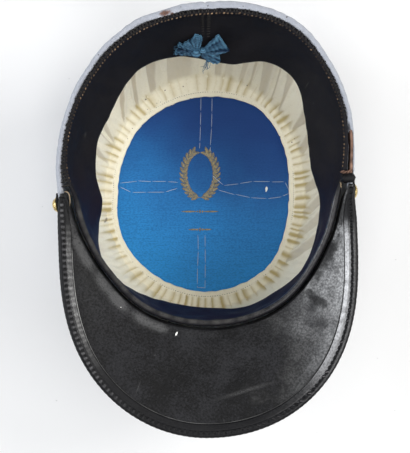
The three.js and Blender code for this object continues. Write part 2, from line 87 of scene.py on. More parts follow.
class Seed(IntEnum):
    """Which random draw belongs to what."""

    WALL_DENTS = 11
    WALL_CREASES = 12
    HEM_FUZZ = 21
    HEM_WAVES = 22
    BAND_DENTS = 23
    WORN_EDGE = 24
    BUCKRAM_BREAKS = 31
    BUCKRAM_FACE = 32
    LEATHER_DENTS = 41
    LEATHER_CREASES = 42
    ROLL_DUST = 43
    RIM_STITCHES = 51
    OVERCAST = 52
    BACK_SEAM = 53
    GATHERS = 61
    GATHER_SLANT = 64
    HEM_LINE = 65
    SILK_CREASES = 66
    SILK_CRINKLES = 67
    HEM_NOTCHES = 68
    TACKING = 71
    PEAK_WAVES = 81
    PEAK_DUST = 82
    BINDING_PUFF = 83
    BINDING_STITCHES = 84
    GROOVE_BREAKS = 85
    BINDING_POLISH = 86
    BINDING_BEADS = 87
    BOW_LEAVES = 91  # the first leaf's, and one more for each leaf after it
    FRAY = 95


def vec(x: Number, y: Number, z: Number) -> Array:
    """Points or vectors from their three parts, which may be arrays of different shapes."""
    return np.stack(np.broadcast_arrays(x, y, z), axis=-1).astype(float)


def unit(vectors: Array) -> Array:
    """Vectors at length 1."""
    return vectors / np.maximum(np.linalg.norm(vectors, axis=-1, keepdims=True), 1e-12)


def beside(*parts: Array) -> Array:
    """Rows of places or values, put end to end."""
    return np.concatenate(parts, axis=1)


def lerp(start: Number, end: Number, share: Number) -> Array:
    """The value at a share of the way from start to end."""
    return start + (end - start) * share


def clip01(value: Number) -> Array:
    """A value, kept between 0 and 1."""
    return np.clip(value, 0.0, 1.0)


def smooth(value: Number, low: float, high: float) -> Array:
    """A soft step: 0 below low and 1 above high."""
    t = clip01((np.asarray(value, float) - low) / (high - low))
    return t * t * (3.0 - 2.0 * t)


def between(value: Number, start: float, full: float, fade: float, end: float) -> Array:
    """A soft window: 0 up to start, 1 from full to fade, and 0 again from end."""
    return smooth(value, start, full) * (1.0 - smooth(value, fade, end))


def bell(value: Number, width: float) -> Array:
    """A soft bump: 1 at 0, falling off over a width."""
    return np.exp(-np.square(np.asarray(value, float) / width))


def tuck(distance: Number, radius: float) -> Array:
    """How far a rounded edge of that radius draws in, at a distance from the edge."""
    rest = radius - np.minimum(np.maximum(distance, 0.0), radius)
    return radius - np.sqrt(np.maximum(radius * radius - rest * rest, 0.0))


def rounded(distance: Number, radius: float) -> Array:
    """Share of the full height at a distance from a round edge: 0 at the edge and 1 from the radius on."""
    return np.sqrt(1.0 - np.square(1.0 - clip01(distance / radius)))


def turn_between(start: Number, angle: Number) -> Array:
    """Shortest way from one angle to another, in degrees."""
    return np.mod(np.asarray(angle, float) - start + 180.0, 360.0) - 180.0


def shares(count: int) -> Array:
    """Even shares from 0 to 1."""
    return np.linspace(0.0, 1.0, count)


def full_turn(steps: int) -> Array:
    """Angles of a ring as a column, without the last one."""
    return np.linspace(0.0, 360.0, steps, endpoint=False)[:, None]


def ways(path: Array) -> Array:
    """Way along a path to each of its places."""
    return np.concatenate([[0.0], np.cumsum(np.linalg.norm(np.diff(path, axis=0), axis=1))])


def relax(rows: Array, rounds: int) -> None:
    """Evens out each row in place, except for its ends."""
    for _ in range(rounds):
        rows[:, 1:-1] = (rows[:, :-2] + 2.0 * rows[:, 1:-1] + rows[:, 2:]) / 4.0


def padded(marks: dict[str, Array], before: int, after: int) -> dict[str, Array]:
    """Marks of sections, with so many unmarked places before and after them."""
    return {name: np.pad(mark, ((0, 0), (before, after))) for name, mark in marks.items()}


def wobble(angle: Number, seed: int, first: int, last: int) -> Array:
    """A smooth random curve round the turn, about -1 to 1.

    Args:
        angle: Where it is read, in degrees.
        seed: Which curve it is.
        first: Fewest waves in a turn.
        last: Most waves in a turn.

    Returns:
        The curve's values, in the shape of angle.
    """
    rng = np.random.default_rng(seed)
    turn = np.radians(np.asarray(angle, float))
    total = np.zeros_like(turn)
    for waves in range(first, last + 1):
        total = total + rng.normal() * np.sin(waves * turn + rng.uniform(0.0, TAU))
    return total / math.sqrt(last - first + 1)


def crumple(angle: Array, along: Array, seed: int, first: int, last: int) -> Array:
    """Soft random dents over a wall, about -1 to 1.

    Args:
        angle: Angles round the wall, in degrees.
        along: Places up the wall, from 0 to 1.
        seed: Which dents they are.
        first: Fewest waves in a turn.
        last: Most waves in a turn.

    Returns:
        The height of the dents.
    """
    rng = np.random.default_rng(seed)
    turn = np.radians(angle)
    count = 16
    total = np.zeros(np.broadcast_shapes(angle.shape, along.shape))
    for _ in range(count):
        waves = rng.integers(first, last + 1)
        phase, lean, rows = rng.uniform(0.0, TAU), rng.uniform(-3.0, 3.0), rng.uniform(0.5, 3.5)
        total = total + np.sin(waves * turn + phase + lean * along) * np.sin(rows * np.pi * along + phase)
    return total / math.sqrt(count / 2)


@dataclass(frozen=True)
class Turn:
    """A smooth closed curve of values, given at a few angles of a full turn."""

    knots: tuple[Place, ...]

    def __call__(self, angle: Number) -> Array:
        """Reads the curve.

        Args:
            angle: Degrees from the front.

        Returns:
            The values, in the shape of angle.
        """
        angles, values = np.array(self.knots, float).T
        at = np.mod(np.asarray(angle, float), 360.0)
        here = np.searchsorted(angles, at, side="right") - 1
        steps = [here + step for step in (-1, 0, 1, 2)]
        a0, a1, a2, a3 = (angles[i % len(angles)] + 360.0 * (i // len(angles)) for i in steps)
        v0, v1, v2, v3 = (values[i % len(angles)] for i in steps)
        span = a2 - a1
        t = (at - a1) / span
        start = (v2 - v0) / (a2 - a0) * span
        end = (v3 - v1) / (a3 - a1) * span
        rise = v2 - v1
        return v1 + t * (start + t * (3.0 * rise - 2.0 * start - end + t * (start + end - 2.0 * rise)))


def quads(rows: int, size: int, closing: Closing) -> Array:
    """Faces of a grid of points, one row of the grid for each looped section.

    Args:
        rows: Number of sections.
        size: Points in a section, an even number where the ends are capped.
        closing: How the grid closes.

    Returns:
        Point numbers, four for each face.
    """
    row = np.arange(rows if closing is Closing.RING else rows - 1)[:, None] * size
    place = np.arange(size)[None]
    next_row, next_place = (row + size) % (rows * size), (place + 1) % size
    corners = (row + place, next_row + place, next_row + next_place, row + next_place)
    faces = np.stack(corners, axis=-1).reshape(-1, 4)
    if closing is Closing.RING:
        return faces
    near = np.arange(size // 2 - 1)
    far = size - 1 - near
    cap = np.stack([near, near + 1, far - 1, far], axis=-1)
    return np.concatenate([faces, cap, cap[:, ::-1] + (rows - 1) * size])


@dataclass(frozen=True)
class Solid:
    """Points, in millimetres, and faces of a mesh. marks holds a value for each point under a name."""

    points: Array
    faces: Array
    marks: dict[str, Array] = field(default_factory=dict)

    @staticmethod
    def skin(sections: Array, closing: Closing, **marks: Array) -> "Solid":
        """A mesh over rows of looped sections, with marks in the shape of the rows."""
        flat = {name: np.broadcast_to(mark, sections.shape[:2]).ravel() for name, mark in marks.items()}
        return Solid(sections.reshape(-1, 3), quads(*sections.shape[:2], closing), flat)

    @staticmethod
    def plate(front: Array, back: Array, **marks: Array) -> "Solid":
        """A closed plate between two faces in the same order, which have the same marks."""
        both = {name: beside(mark, mark[:, ::-1]) for name, mark in marks.items()}
        return Solid.skin(beside(front, back[:, ::-1]), Closing.CAPPED, **both)

    @staticmethod
    def join(parts: Sequence["Solid"]) -> "Solid":
        """Several meshes as one.

        Args:
            parts: The meshes, which have the same marks.

        Returns:
            One mesh of them all.
        """
        starts = np.cumsum([0] + [len(part.points) for part in parts])
        faces = [part.faces + start for part, start in zip(parts, starts)]
        marks = {name: np.concatenate([part.marks[name] for part in parts]) for name in parts[0].marks}
        return Solid(np.concatenate([part.points for part in parts]), np.concatenate(faces), marks)

    @staticmethod
    def threads(paths: Array, radius: Number, up: Array, sides: int = 6, **marks: Array) -> "Solid":
        """Round threads with soft ends.

        Args:
            paths: Places along each thread, as (threads, steps, 3).
            radius: Thickness at each step, or one for all.
            up: A direction off each thread, as (threads, 3) or one for all.
            sides: Flats round a thread.
            marks: A value for each thread, or for each step of each, under a name.

        Returns:
            One mesh of all the threads.
        """
        count, steps = paths.shape[:2]
        along = unit(np.gradient(paths, axis=1))
        off = np.broadcast_to(np.atleast_2d(up)[:, None, :], along.shape)
        side = unit(np.cross(along, off))
        over = np.cross(side, along)
        end = np.minimum(np.arange(steps), np.arange(steps)[::-1]) / (steps - 1)
        thick = np.broadcast_to(radius, (count, steps)) * (0.35 + 0.65 * smooth(end, 0.0, 0.2))
        turn = np.linspace(0.0, TAU, sides, endpoint=False)[:, None]
        ring = side[:, :, None] * np.cos(turn) + over[:, :, None] * np.sin(turn)
        points = paths[:, :, None] + ring * thick[:, :, None, None]
        first = np.arange(count)[:, None, None] * steps * sides
        faces = (quads(steps, sides, Closing.CAPPED)[None] + first).reshape(-1, 4)
        flat = {}
        for name, value in marks.items():
            each = np.broadcast_to(np.reshape(value, (count, -1)), (count, steps))
            flat[name] = np.repeat(each.astype(float), sides)
        return Solid(points.reshape(-1, 3), faces, flat)

    @staticmethod
    def stitches(
        starts: Array, ends: Array, up: Array, radius: float, arch: float, **marks: Array
    ) -> "Solid":
        """Stitches that dip into the surface at both ends.

        Args:
            starts: Where they come out, as (stitches, 3).
            ends: Where they go in.
            up: The direction off the surface, one for each stitch or one for all.
            radius: Half the thread's thickness.
            arch: How far they rise in the middle.
            marks: A value for each stitch, under a name.

        Returns:
            One mesh of all the stitches.
        """
        off = np.broadcast_to(up, starts.shape)
        share = shares(7)[None, :, None]
        rise = arch * (1.0 - (2.0 * share - 1.0) ** 4) - 0.4 * radius
        paths = starts[:, None] + (ends - starts)[:, None] * share + off[:, None] * rise
        return Solid.threads(paths, radius, off, **marks)

    def outward(self) -> "Solid":
        """Turns a closed mesh the right way out.

        Returns:
            The mesh with its faces pointing out.
        """
        a, b, c, d = (self.points[self.faces[:, k]] for k in range(4))
        volume = np.sum(a * (np.cross(b, c) + np.cross(c, d)))
        return self if volume > 0 else Solid(self.points, self.faces[:, ::-1], self.marks)


def make_piece(
    name: str, solid: Solid, finish: Material, nodes: Sequence[str] = (), closed: bool = True
) -> Piece:
    """Makes a smooth mesh that rides on the kepi.

    Args:
        name: The piece's name.
        solid: Its mesh.
        finish: Its material.
        nodes: Solids of the frame that it stands for.
        closed: False for a bundle of loose plates, whose faces stay as they are.

    Returns:
        The new object.
    """
    solid = solid.outward() if closed else solid
    mesh = bpy.data.meshes.new(name)
    mesh.vertices.add(len(solid.points))
    mesh.vertices.foreach_set("co", (solid.points * MM).astype(np.float32).ravel())
    mesh.loops.add(solid.faces.size)
    mesh.loops.foreach_set("vertex_index", solid.faces.astype(np.int32).ravel())
    mesh.polygons.add(len(solid.faces))
    mesh.polygons.foreach_set("loop_start", np.arange(0, solid.faces.size, 4, dtype=np.int32))
    mesh.update(calc_edges=True)
    mesh.validate()
    mesh.shade_smooth()
    for mark, values in solid.marks.items():
        mesh.attributes.new(mark, "FLOAT", "POINT").data.foreach_set("value", values.astype(np.float32))
    mesh.materials.append(finish)
    piece = bpy.data.objects.new(name, mesh)
    bpy.context.scene.collection.objects.link(piece)
    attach(piece, "root")
    if nodes:
        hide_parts(*nodes)
    return piece


class Wire:
    """An output of a material's nodes that takes part in Python expressions."""

    def __init__(self, nodes: "Nodes", socket: bpy.types.NodeSocket) -> None:
        """Wraps a socket of a material's nodes."""
        self.nodes = nodes
        self.socket = socket

    def _math(self, operation: str, first: "Wire | float", second: "Wire | float") -> "Wire":
        """A Math node on two values."""
        return self.nodes.add("ShaderNodeMath", {"operation": operation}, {0: first, 1: second})

    def __add__(self, other: "Wire | float") -> "Wire":
        """Sum."""
        return self._math("ADD", self, other)

    def __radd__(self, other: float) -> "Wire":
        """Sum with a number first."""
        return self._math("ADD", other, self)

    def __sub__(self, other: "Wire | float") -> "Wire":
        """Difference."""
        return self._math("SUBTRACT", self, other)

    def __rsub__(self, other: float) -> "Wire":
        """Difference from a number."""
        return self._math("SUBTRACT", other, self)

    def __mul__(self, other: "Wire | float") -> "Wire":
        """Product."""
        return self._math("MULTIPLY", self, other)

    def __rmul__(self, other: float) -> "Wire":
        """Product with a number first."""
        return self._math("MULTIPLY", other, self)

    def __pow__(self, other: float) -> "Wire":
        """Power."""
        return self._math("POWER", self, other)

    def step(self, low: float, high: float) -> "Wire":
        """A soft step from 0 to 1.

        Args:
            low: The value at which it is 0.
            high: The value at which it is 1, which may be the lower of the two.

        Returns:
            The step.
        """
        if low > high:
            return 1.0 - self.step(high, low)
        sockets = {"Value": self, "From Min": low, "From Max": high}
        return self.nodes.add("ShaderNodeMapRange", {"interpolation_type": "SMOOTHSTEP"}, sockets)

    def mix(self, low: "Wire | Colour", high: "Wire | Colour") -> "Wire":
        """Colours mixed by this value, low at 0 and high at 1."""
        return self.nodes.add("ShaderNodeMix", {"data_type": "RGBA"}, {0: self, 6: low, 7: high}, 2)


@dataclass(frozen=True)
class Spot:
    """A mark on a surface, seen from above.

    x and y are its middle, long and wide its half length and half width, and lie the way it runs.
    """

    x: float
    y: float
    long: float
    wide: float
    lie: float = 0.0


class Nodes:
    """The nodes of one material. place is the position in metres; x, y and z are in millimetres."""

    def __init__(self, name: str) -> None:
        """Starts a material with no nodes but its position.

        Args:
            name: The material's name.
        """
        self.material = bpy.data.materials.new(name)
        self.material.use_nodes = True
        self.tree = self.material.node_tree
        self.tree.nodes.clear()
        self.place = self.add("ShaderNodeTexCoord", output="Object")
        self.x, self.y, self.z = (
            self.add("ShaderNodeSeparateXYZ", None, {0: self.place}, axis) * (1.0 / MM) for axis in range(3)
        )

    def add(
        self,
        kind: str,
        settings: dict[str, Any] | None = None,
        sockets: dict[str | int, Any] | None = None,
        output: str | int = 0,
    ) -> Wire:
        """Adds a node.

        Args:
            kind: The node's type.
            settings: Its settings, which are set first.
            sockets: Values or links of its inputs.
            output: The output to go on with.

        Returns:
            That output.
        """
        node = self.tree.nodes.new(kind)
        for key, value in (settings or {}).items():
            setattr(node, key, value)
        for key, value in (sockets or {}).items():
            socket = node.inputs[key]
            if isinstance(value, Wire):
                self.tree.links.new(value.socket, socket)
            elif socket.type == "RGBA":
                socket.default_value = (*value, 1.0)
            else:
                socket.default_value = value
        return Wire(self, node.outputs[output])

    def stretched(self, stretch: tuple[float, float, float]) -> Wire:
        """The position, scaled by so much along each axis."""
        return self.add("ShaderNodeVectorMath", {"operation": "MULTIPLY"}, {0: self.place, 1: stretch})

    def scaled(self, size: float, at: Wire | None = None) -> dict[str, Any]:
        """Sockets of a texture whose lumps have about that size in millimetres."""
        return {"Vector": at or self.place, "Scale": 1.0 / (size * MM)}

    def noise(self, size: float, detail: float = 4.0, rough: float = 0.6, at: Wire | None = None) -> Wire:
        """Cloudy noise with lumps of about that size in millimetres."""
        sockets = self.scaled(size, at) | {"Detail": detail, "Roughness": rough}
        return self.add("ShaderNodeTexNoise", None, sockets)

    def pebbles(self, size: float) -> Wire:
        """Rounded grains of about that size in millimetres, 0 in their middles."""
        sockets = self.scaled(size) | {"Smoothness": 0.6}
        return self.add("ShaderNodeTexVoronoi", {"feature": "SMOOTH_F1"}, sockets)

    def mark(self, name: str) -> Wire:
        """A value that the mesh holds for each point."""
        return self.add("ShaderNodeAttribute", {"attribute_name": name}, None, "Fac")

    def spots(self, spots: Sequence[Spot], ragged: Wire, soft: float = 0.5) -> Wire:
        """Marks that lie on the surface.

        Args:
            spots: The marks.
            ragged: Noise from 0 to 1 that breaks up their edges.
            soft: Share of their size over which their edges fade.

        Returns:
            1 inside any of the marks and 0 outside them.
        """
        total: Wire | float = 0.0
        for spot in spots:
            lie = math.radians(spot.lie)
            across, up = self.x - spot.x, self.y - spot.y
            along = (across * math.cos(lie) + up * math.sin(lie)) * (1.0 / spot.long)
            aside = (up * math.cos(lie) - across * math.sin(lie)) * (1.0 / spot.wide)
            away = (along * along + aside * aside) ** 0.5 + (ragged - 0.5) * 1.4
            total = total + away.step(1.0, 1.0 - soft)
        return total

    def bump(self, height: Wire, depth: float, strength: float = 1.0) -> Wire:
        """A normal from a height whose full range is depth millimetres."""
        sockets = {"Strength": strength, "Distance": depth * MM, "Height": height}
        return self.add("ShaderNodeBump", None, sockets)

    def close(self, **sockets: Any) -> Material:
        """Ends the nodes in a shader.

        Args:
            sockets: Values or links of its inputs, by their names with _ for each space.

        Returns:
            The material.
        """
        named = {key.replace("_", " "): value for key, value in sockets.items()}
        shader = self.add("ShaderNodeBsdfPrincipled", None, named)
        output = self.tree.nodes.new("ShaderNodeOutputMaterial")
        self.tree.links.new(shader.socket, output.inputs["Surface"])
        return self.material


@dataclass(frozen=True)
class Form:
    """The shape that the pieces share: a cloth wall from the crown's oval up to the tilted rim."""

    crown_half_width: float = 68.5
    crown_half_length: float = 79.0
    crown_thickness: float = 2.4
    rim_centre_y: float = 11.0
    rim_front: Place = (-83.0, 82.0)  # y and height
    rim_rear: Place = (108.0, 116.0)
    rear_turned: Place = (176.0, 38.0)  # middle and spread of the stretch where the hem is turned in wider
    bulge: float = 0.5  # how far the wall swells over a straight line
    cloth: float = 2.2
    peak_ends: Place = (83.0, 87.0)  # degrees from the front, left and right
    peak_fade: float = 0.86  # share of each half at which the sweatband's roll begins to fade
    rim_plan: Turn = Turn((
        (0, 98.8), (30, 98.6), (60, 91.3), (90, 87.7), (120, 94.2), (150, 101.0),
        (180, 96.9), (210, 94.6), (240, 89.6), (270, 87.8), (300, 91.0), (330, 97.6),
    ))
    crest: Turn = Turn((  # how far the middle of the sweatband's top is in from the rim
        (0, 7.2), (25, 7.6), (44, 8.6), (62, 8.7), (78, 8.4), (90, 4.6), (100, 3.6), (115, 3.5),
        (140, 4.2), (180, 4.9), (220, 4.2), (245, 3.5), (263, 3.6), (272, 4.8), (281, 9.2), (294, 10.0),
        (307, 10.6), (320, 11.2), (338, 8.6),
    ))

    def plane(self, y: Number) -> Array:
        """Height of the rim's tilted plane."""
        (front_y, front_height), (rear_y, rear_height) = self.rim_front, self.rim_rear
        return lerp(front_height, rear_height, (y - front_y) / (rear_y - front_y))

    def inset(self, angle: Number, inset: Number, lift: Number = 0.0) -> Array:
        """A point beside the rim.

        Args:
            angle: Degrees from the front.
            inset: How far in it is from the rim's outer edge.
            lift: How far it is over the rim's plane.

        Returns:
            The point.
        """
        turn = np.radians(angle)
        radius = self.rim_plan(angle) - inset
        y = self.rim_centre_y - radius * np.cos(turn)
        return vec(radius * np.sin(turn), y, self.plane(y) + lift)

    def face(self, angle: Number, rise: Number) -> Array:
        """A point on the wall's outer face.

        Args:
            angle: Degrees from the front.
            rise: 0 at the crown's edge and 1 at the rim.

        Returns:
            The point.
        """
        turn = np.radians(angle)
        rim = self.inset(angle, 0.0)
        share = rise + self.bulge * rise * (1.0 - rise)
        x = lerp(self.crown_half_width * np.sin(turn), rim[..., 0], share)
        y = lerp(-self.crown_half_length * np.cos(turn), rim[..., 1], share)
        return vec(x, y, rim[..., 2] * rise)

    def normal(self, angle: Number, rise: Number) -> Array:
        """Direction straight out of the wall."""
        along = self.face(angle + 0.5, rise) - self.face(angle - 0.5, rise)
        return unit(np.cross(along, self.face(angle, rise + 0.01) - self.face(angle, rise - 0.01)))

    def wall(self, angle: Number, rise: Number, proud: Number) -> Array:
        """A point proud of the wall's face by so much."""
        return self.face(angle, rise) + self.normal(angle, rise) * np.asarray(proud, float)[..., None]

    def at_height(self, angle: Number, z: Number) -> Array:
        """The wall's rise at a height above the ground."""
        return z / self.inset(angle, 0.0)[..., 2]

    def down(self, angle: Number, distance: Number) -> Array:
        """The wall's rise at a height down from the rim."""
        return 1.0 - distance / self.inset(angle, 0.0)[..., 2]

    def peak_share(self, angle: Number) -> Array:
        """How far an angle is along its half of the peak, from 0 at the front to 1 at the end."""
        way = turn_between(0.0, angle)
        return np.minimum(1.0, np.abs(way) / np.where(way < 0, *self.peak_ends))

    def behind_peak(self, angle: Number) -> Array:
        """1 where the peak is sewn in, falling to 0 past its ends."""
        return 1.0 - smooth(self.peak_share(angle), self.peak_fade, 1.0)

    def at_rear(self, angle: Number) -> Array:
        """1 at the back, where the hem is turned in wider, falling to 0 at the sides."""
        middle, spread = self.rear_turned
        return bell(turn_between(middle, angle), spread)


FORM = Form()


@dataclass(frozen=True)
class Wool:
    """Pale grey-blue fulled wool, soiled and holed along its rim."""

    nap: Colour = (0.515, 0.54, 0.60)
    pile: Colour = (0.34, 0.365, 0.42)
    soil: Colour = (0.05, 0.04, 0.045)
    raw: Colour = (0.24, 0.12, 0.08)
    rim: Place = (1.4, 3.2)  # under the rim's plane, where the holes and flecks begin to fade and end
    holes: tuple[Spot, ...] = (Spot(-22.6, 101.6, 4.8, 2.3, 8.0), Spot(-18.8, 100.9, 2.0, 1.3))
    flecks: tuple[Spot, ...] = (
        Spot(1.7, 105.6, 0.7, 0.4, 70.0), Spot(47.4, 99.4, 0.8, 0.5, 30.0), Spot(-14.0, 105.0, 0.5, 0.3),
        Spot(22.0, 105.4, 0.5, 0.3), Spot(-62.0, 78.0, 0.6, 0.4), Spot(83.2, 42.0, 1.4, 0.9, 80.0),
    )

    def material(self) -> Material:
        """Builds the material.

        Returns:
            The material.
        """
        n = Nodes("wool")
        fibres, clumps = n.noise(0.6, 8.0, 0.75), n.noise(4.0)
        colour = (fibres * 0.7 + clumps * 0.4).step(0.3, 0.85).mix(self.pile, self.nap)
        middle = float(FORM.plane(0.0))
        under_rim = n.y * (float(FORM.plane(1.0)) - middle) + middle - n.z
        start, end = self.rim
        rim = under_rim.step(end, start)
        torn = fibres.step(0.4, 0.6).mix(self.soil, self.raw)
        colour = (n.spots(self.holes, clumps) * rim).mix(colour, torn)
        colour = (n.spots(self.flecks, fibres) * rim).mix(colour, self.soil)
        return n.close(
            Base_Color=colour, Roughness=0.95, Specular_IOR_Level=0.1, Sheen_Weight=0.2,
            Sheen_Roughness=0.6, Normal=n.bump(fibres + clumps * 0.6, 0.9, 0.8),
        )


@dataclass(frozen=True)
class Leather:
    """Black pebbled leather with scuffs and flecks. The mesh marks its polish, and its dust, in places
    painted sheen.
    """

    name: str
    skin: Colour
    worn: Colour
    # colour of dust and scuffs, and of the painted sheen and highlights that the dust mark also carries
    dust_and_sheen: Colour
    pebble: float
    relief: float
    gloss: Place  # roughness where it is rubbed and where it is dull
    specular: float
    coat: float  # weight of the polish where it is rubbed
    coat_roughness: float = 0.32
    coat_ior: float = 2.1
    rubbed: tuple[Spot, ...] = ()
    dull_and_shaded: tuple[Spot, ...] = ()  # stretches of the rubbed part without polish and darkened: dull leather, and painted shade beside the roll
    scuffs: tuple[Spot, ...] = ()
    flecks: tuple[Spot, ...] = ()
    fleck: Colour = (0.85, 0.85, 0.82)
    tint: Colour | None = None  # colour that shows through in front, where the mesh is marked deep

    def material(self) -> Material:
        """Builds the material.

        Returns:
            The material.
        """
        n = Nodes(self.name)
        cloud, fine, speckle = n.noise(22.0, 5.0), n.noise(0.5, 5.0, 0.7), n.noise(1.3, 4.0, 0.75)
        grain = n.pebbles(self.pebble) * 0.7 + n.pebbles(self.pebble * 0.45) * 0.3
        wear = ((cloud - 0.5) * 0.8 + speckle).step(0.35, 0.75)
        colour = wear.mix(self.skin, self.worn)
        if self.tint:
            front = n.y.step(30.0, -45.0) * n.mark("deep")
            colour = (front * (0.55 + cloud * 0.6)).mix(colour, self.tint)
        glossy, dull = self.gloss
        rough = glossy + (dull - glossy) * cloud.step(0.3, 0.7)
        shine: Wire | float = 0.0
        if self.rubbed:
            sheen = 0.4 + 0.6 * (speckle * 0.9 - grain).step(-0.3, 0.25)
            shine = sheen * n.spots(self.rubbed, cloud, 0.8).step(0.0, 1.0)
        if self.dull_and_shaded:
            dull_and_shade = n.spots(self.dull_and_shaded, n.noise(7.0), 0.75).step(0.0, 1.0)
            shine = shine * (1.0 - dull_and_shade * 0.85)
            # darkened towards the skin: dull patches, and painted shade beside the sweatband's roll
            colour = (dull_and_shade * 0.6).mix(colour, self.skin)
        if self.scuffs:
            scuffed = n.spots(self.scuffs, fine, 0.9) * fine.step(0.35, 0.7)
            colour = (scuffed * 0.7).mix(colour, self.dust_and_sheen)
        # the dust mark is real dust in places, and painted sheen and highlights in others
        dust_and_sheen_share = (n.mark("dust_and_sheen") * 1.3 * speckle.step(0.1, 0.6)).step(0.05, 1.0)
        polish = n.mark("polish") * (0.3 + 0.9 * speckle.step(0.3, 0.6))
        colour = (dust_and_sheen_share * 0.75).mix(colour, self.dust_and_sheen)
        if self.flecks:
            colour = n.spots(self.flecks, fine, 0.2).mix(colour, self.fleck)
        height = ((1.0 - grain) + fine * 0.25) * (1.0 - polish * 0.9)
        return n.close(
            Base_Color=colour, Roughness=(rough + dust_and_sheen_share * 0.2) * (1.0 - polish * 0.55),
            Specular_IOR_Level=self.specular, Coat_Weight=(shine * (1.0 - dust_and_sheen_share) + polish) * self.coat,
            Coat_Roughness=self.coat_roughness, Coat_IOR=self.coat_ior,
            Normal=n.bump(height, self.relief),
        )


@dataclass(frozen=True)
class Silk:
    """Cream silk with stains, yellowed and with painted shade in its gathers, and painted shade on its
    folds.
    """

    ridge: Colour = (0.93, 0.88, 0.715)
    # the colour of the painted shade on the folds' flanks
    shadow: Colour = (0.60, 0.53, 0.405)
    # the colour of the gathers' yellowing and of the painted shade in their valleys and on their lee flanks
    yellowing_and_shade: Colour = (0.54, 0.44, 0.21)
    stain: Colour = (0.22, 0.17, 0.11)
    speck: Colour = (0.16, 0.10, 0.07)
    stains: tuple[Spot, ...] = (Spot(-65.5, -17.7, 2.6, 1.1, 75.0),)
    specks: tuple[Spot, ...] = (
        Spot(-39.4, 62.4, 0.6, 0.45), Spot(-26.6, 68.6, 0.65, 0.45, 40.0),
        Spot(-14.5, 71.2, 0.6, 0.4, 70.0), Spot(-32.0, 60.0, 0.35, 0.3), Spot(-29.5, 60.8, 0.35, 0.3),
        Spot(-38.2, 55.9, 0.35, 0.3), Spot(-48.3, 43.3, 0.4, 0.3), Spot(-51.6, 36.4, 0.35, 0.3),
        Spot(28.0, 71.6, 0.55, 0.4), Spot(57.7, 34.0, 0.55, 0.45), Spot(59.5, 36.2, 0.4, 0.3),
    )

    def material(self) -> Material:
        """Builds the material.

        Returns:
            The material.
        """
        n = Nodes("silk")
        weave, cloud = n.noise(0.4, 3.0), n.noise(16.0, 3.0)
        shaded = (n.mark("fold") + (cloud - 0.5) * 0.2).step(0.0, 1.0)
        # the gathers' yellowing together with their painted shade
        yellowing_and_shade_mask = (n.mark("yellowing_and_shade") + (cloud - 0.5) * 0.35).step(0.0, 1.0)
        colour = yellowing_and_shade_mask.mix(shaded.mix(self.ridge, self.shadow), self.yellowing_and_shade)
        colour = (n.noise(1.5, 5.0, 0.7).step(0.5, 0.75) * 0.3).mix(colour, self.yellowing_and_shade)
        colour = (n.spots(self.stains, cloud) * 0.8).mix(colour, self.stain)
        colour = n.spots(self.specks, weave).mix(colour, self.speck)
        return n.close(
            Base_Color=colour, Roughness=0.5, Specular_IOR_Level=0.35, Sheen_Weight=0.1,
            Normal=n.bump(weave, 0.1),
        )


@dataclass(frozen=True)
class Satin:
    """Blue ribbed satin with one fleck of lint. Its colour has painted light and shade across it."""

    # the deep blue is the painted shade at the back right, the light blue the painted light and sheen at
    # the front left
    deep: Colour = (0.013, 0.055, 0.225)
    painted_lit_blue: Colour = (0.034, 0.320, 0.79)
    streak: Colour = (0.006, 0.045, 0.19)
    lint: Colour = (0.9, 0.9, 0.86)
    painted_light_way: Place = (-0.4, -1.1)  # the way along which the painted light grows, in x and y
    painted_light_span: Place = (-62.0, 72.0)  # and from where to where
    flecks: tuple[Spot, ...] = (Spot(41.0, 3.0, 1.9, 0.75, 78.0),)

    def material(self) -> Material:
        """Builds the material.

        Returns:
            The material.
        """
        n = Nodes("satin")
        ribs = n.noise(1.0, 3.0, 0.7, n.stretched((0.06, 1.2, 1.0)))
        threads = n.noise(0.9, 3.0, 0.7, n.stretched((0.6, 1.0, 1.0)))
        cloud = n.noise(40.0, 2.0)
        way_x, way_y = self.painted_light_way
        # painted light and shade: lighter towards the front left, darker towards the back right under the
        # walls
        fade = (n.x * way_x + n.y * way_y + (cloud - 0.5) * 50.0).step(*self.painted_light_span)
        streaks = ribs.step(0.62, 0.3) * 0.12 + threads.step(0.6, 0.35) * 0.3
        colour = streaks.mix(fade.mix(self.deep, self.painted_lit_blue), self.streak)
        return n.close(
            Base_Color=n.spots(self.flecks, threads, 0.15).mix(colour, self.lint), Roughness=0.45,
            Specular_IOR_Level=0.12, Anisotropic=0.5, Normal=n.bump(ribs * 0.3 + threads * 0.6, 0.12),
        )


@dataclass(frozen=True)
class Metal:
    """Gilt, rubbed on its high places and tarnished in its low ones."""

    name: str
    bright: Colour
    dull: Colour
    size: float
    metallic: float = 1.0

    def material(self) -> Material:
        """Builds the material.

        Returns:
            The material.
        """
        n = Nodes(self.name)
        tarnish = n.noise(self.size, 5.0, 0.7)
        return n.close(
            Base_Color=tarnish.step(0.4, 0.62).mix(self.bright, self.dull),
            Roughness=0.22 + 0.35 * tarnish.step(0.35, 0.65), Metallic=self.metallic,
            Normal=n.bump(tarnish, 0.08),
        )


@dataclass(frozen=True)
class Fibre:
    """Thread, ribbon or raw cloth: two colours mixed by its fibres, and darker where the mesh says so."""

    name: str
    light: Colour
    dark: Colour
    size: float = 0.25
    rough: float = 0.75
    marked: bool = False  # True where the mesh marks its shade, 1 for light

    def material(self) -> Material:
        """Builds the material.

        Returns:
            The material.
        """
        n = Nodes(self.name)
        fibres = n.noise(self.size, 4.0, 0.7)
        light = fibres.step(0.25, 0.75)
        if self.marked:
            light = (light * 0.5 + 0.6) * n.mark("shade")
        return n.close(
            Base_Color=light.mix(self.dark, self.light), Roughness=self.rough, Specular_IOR_Level=0.25,
            Normal=n.bump(fibres, self.size * 0.5),
        )


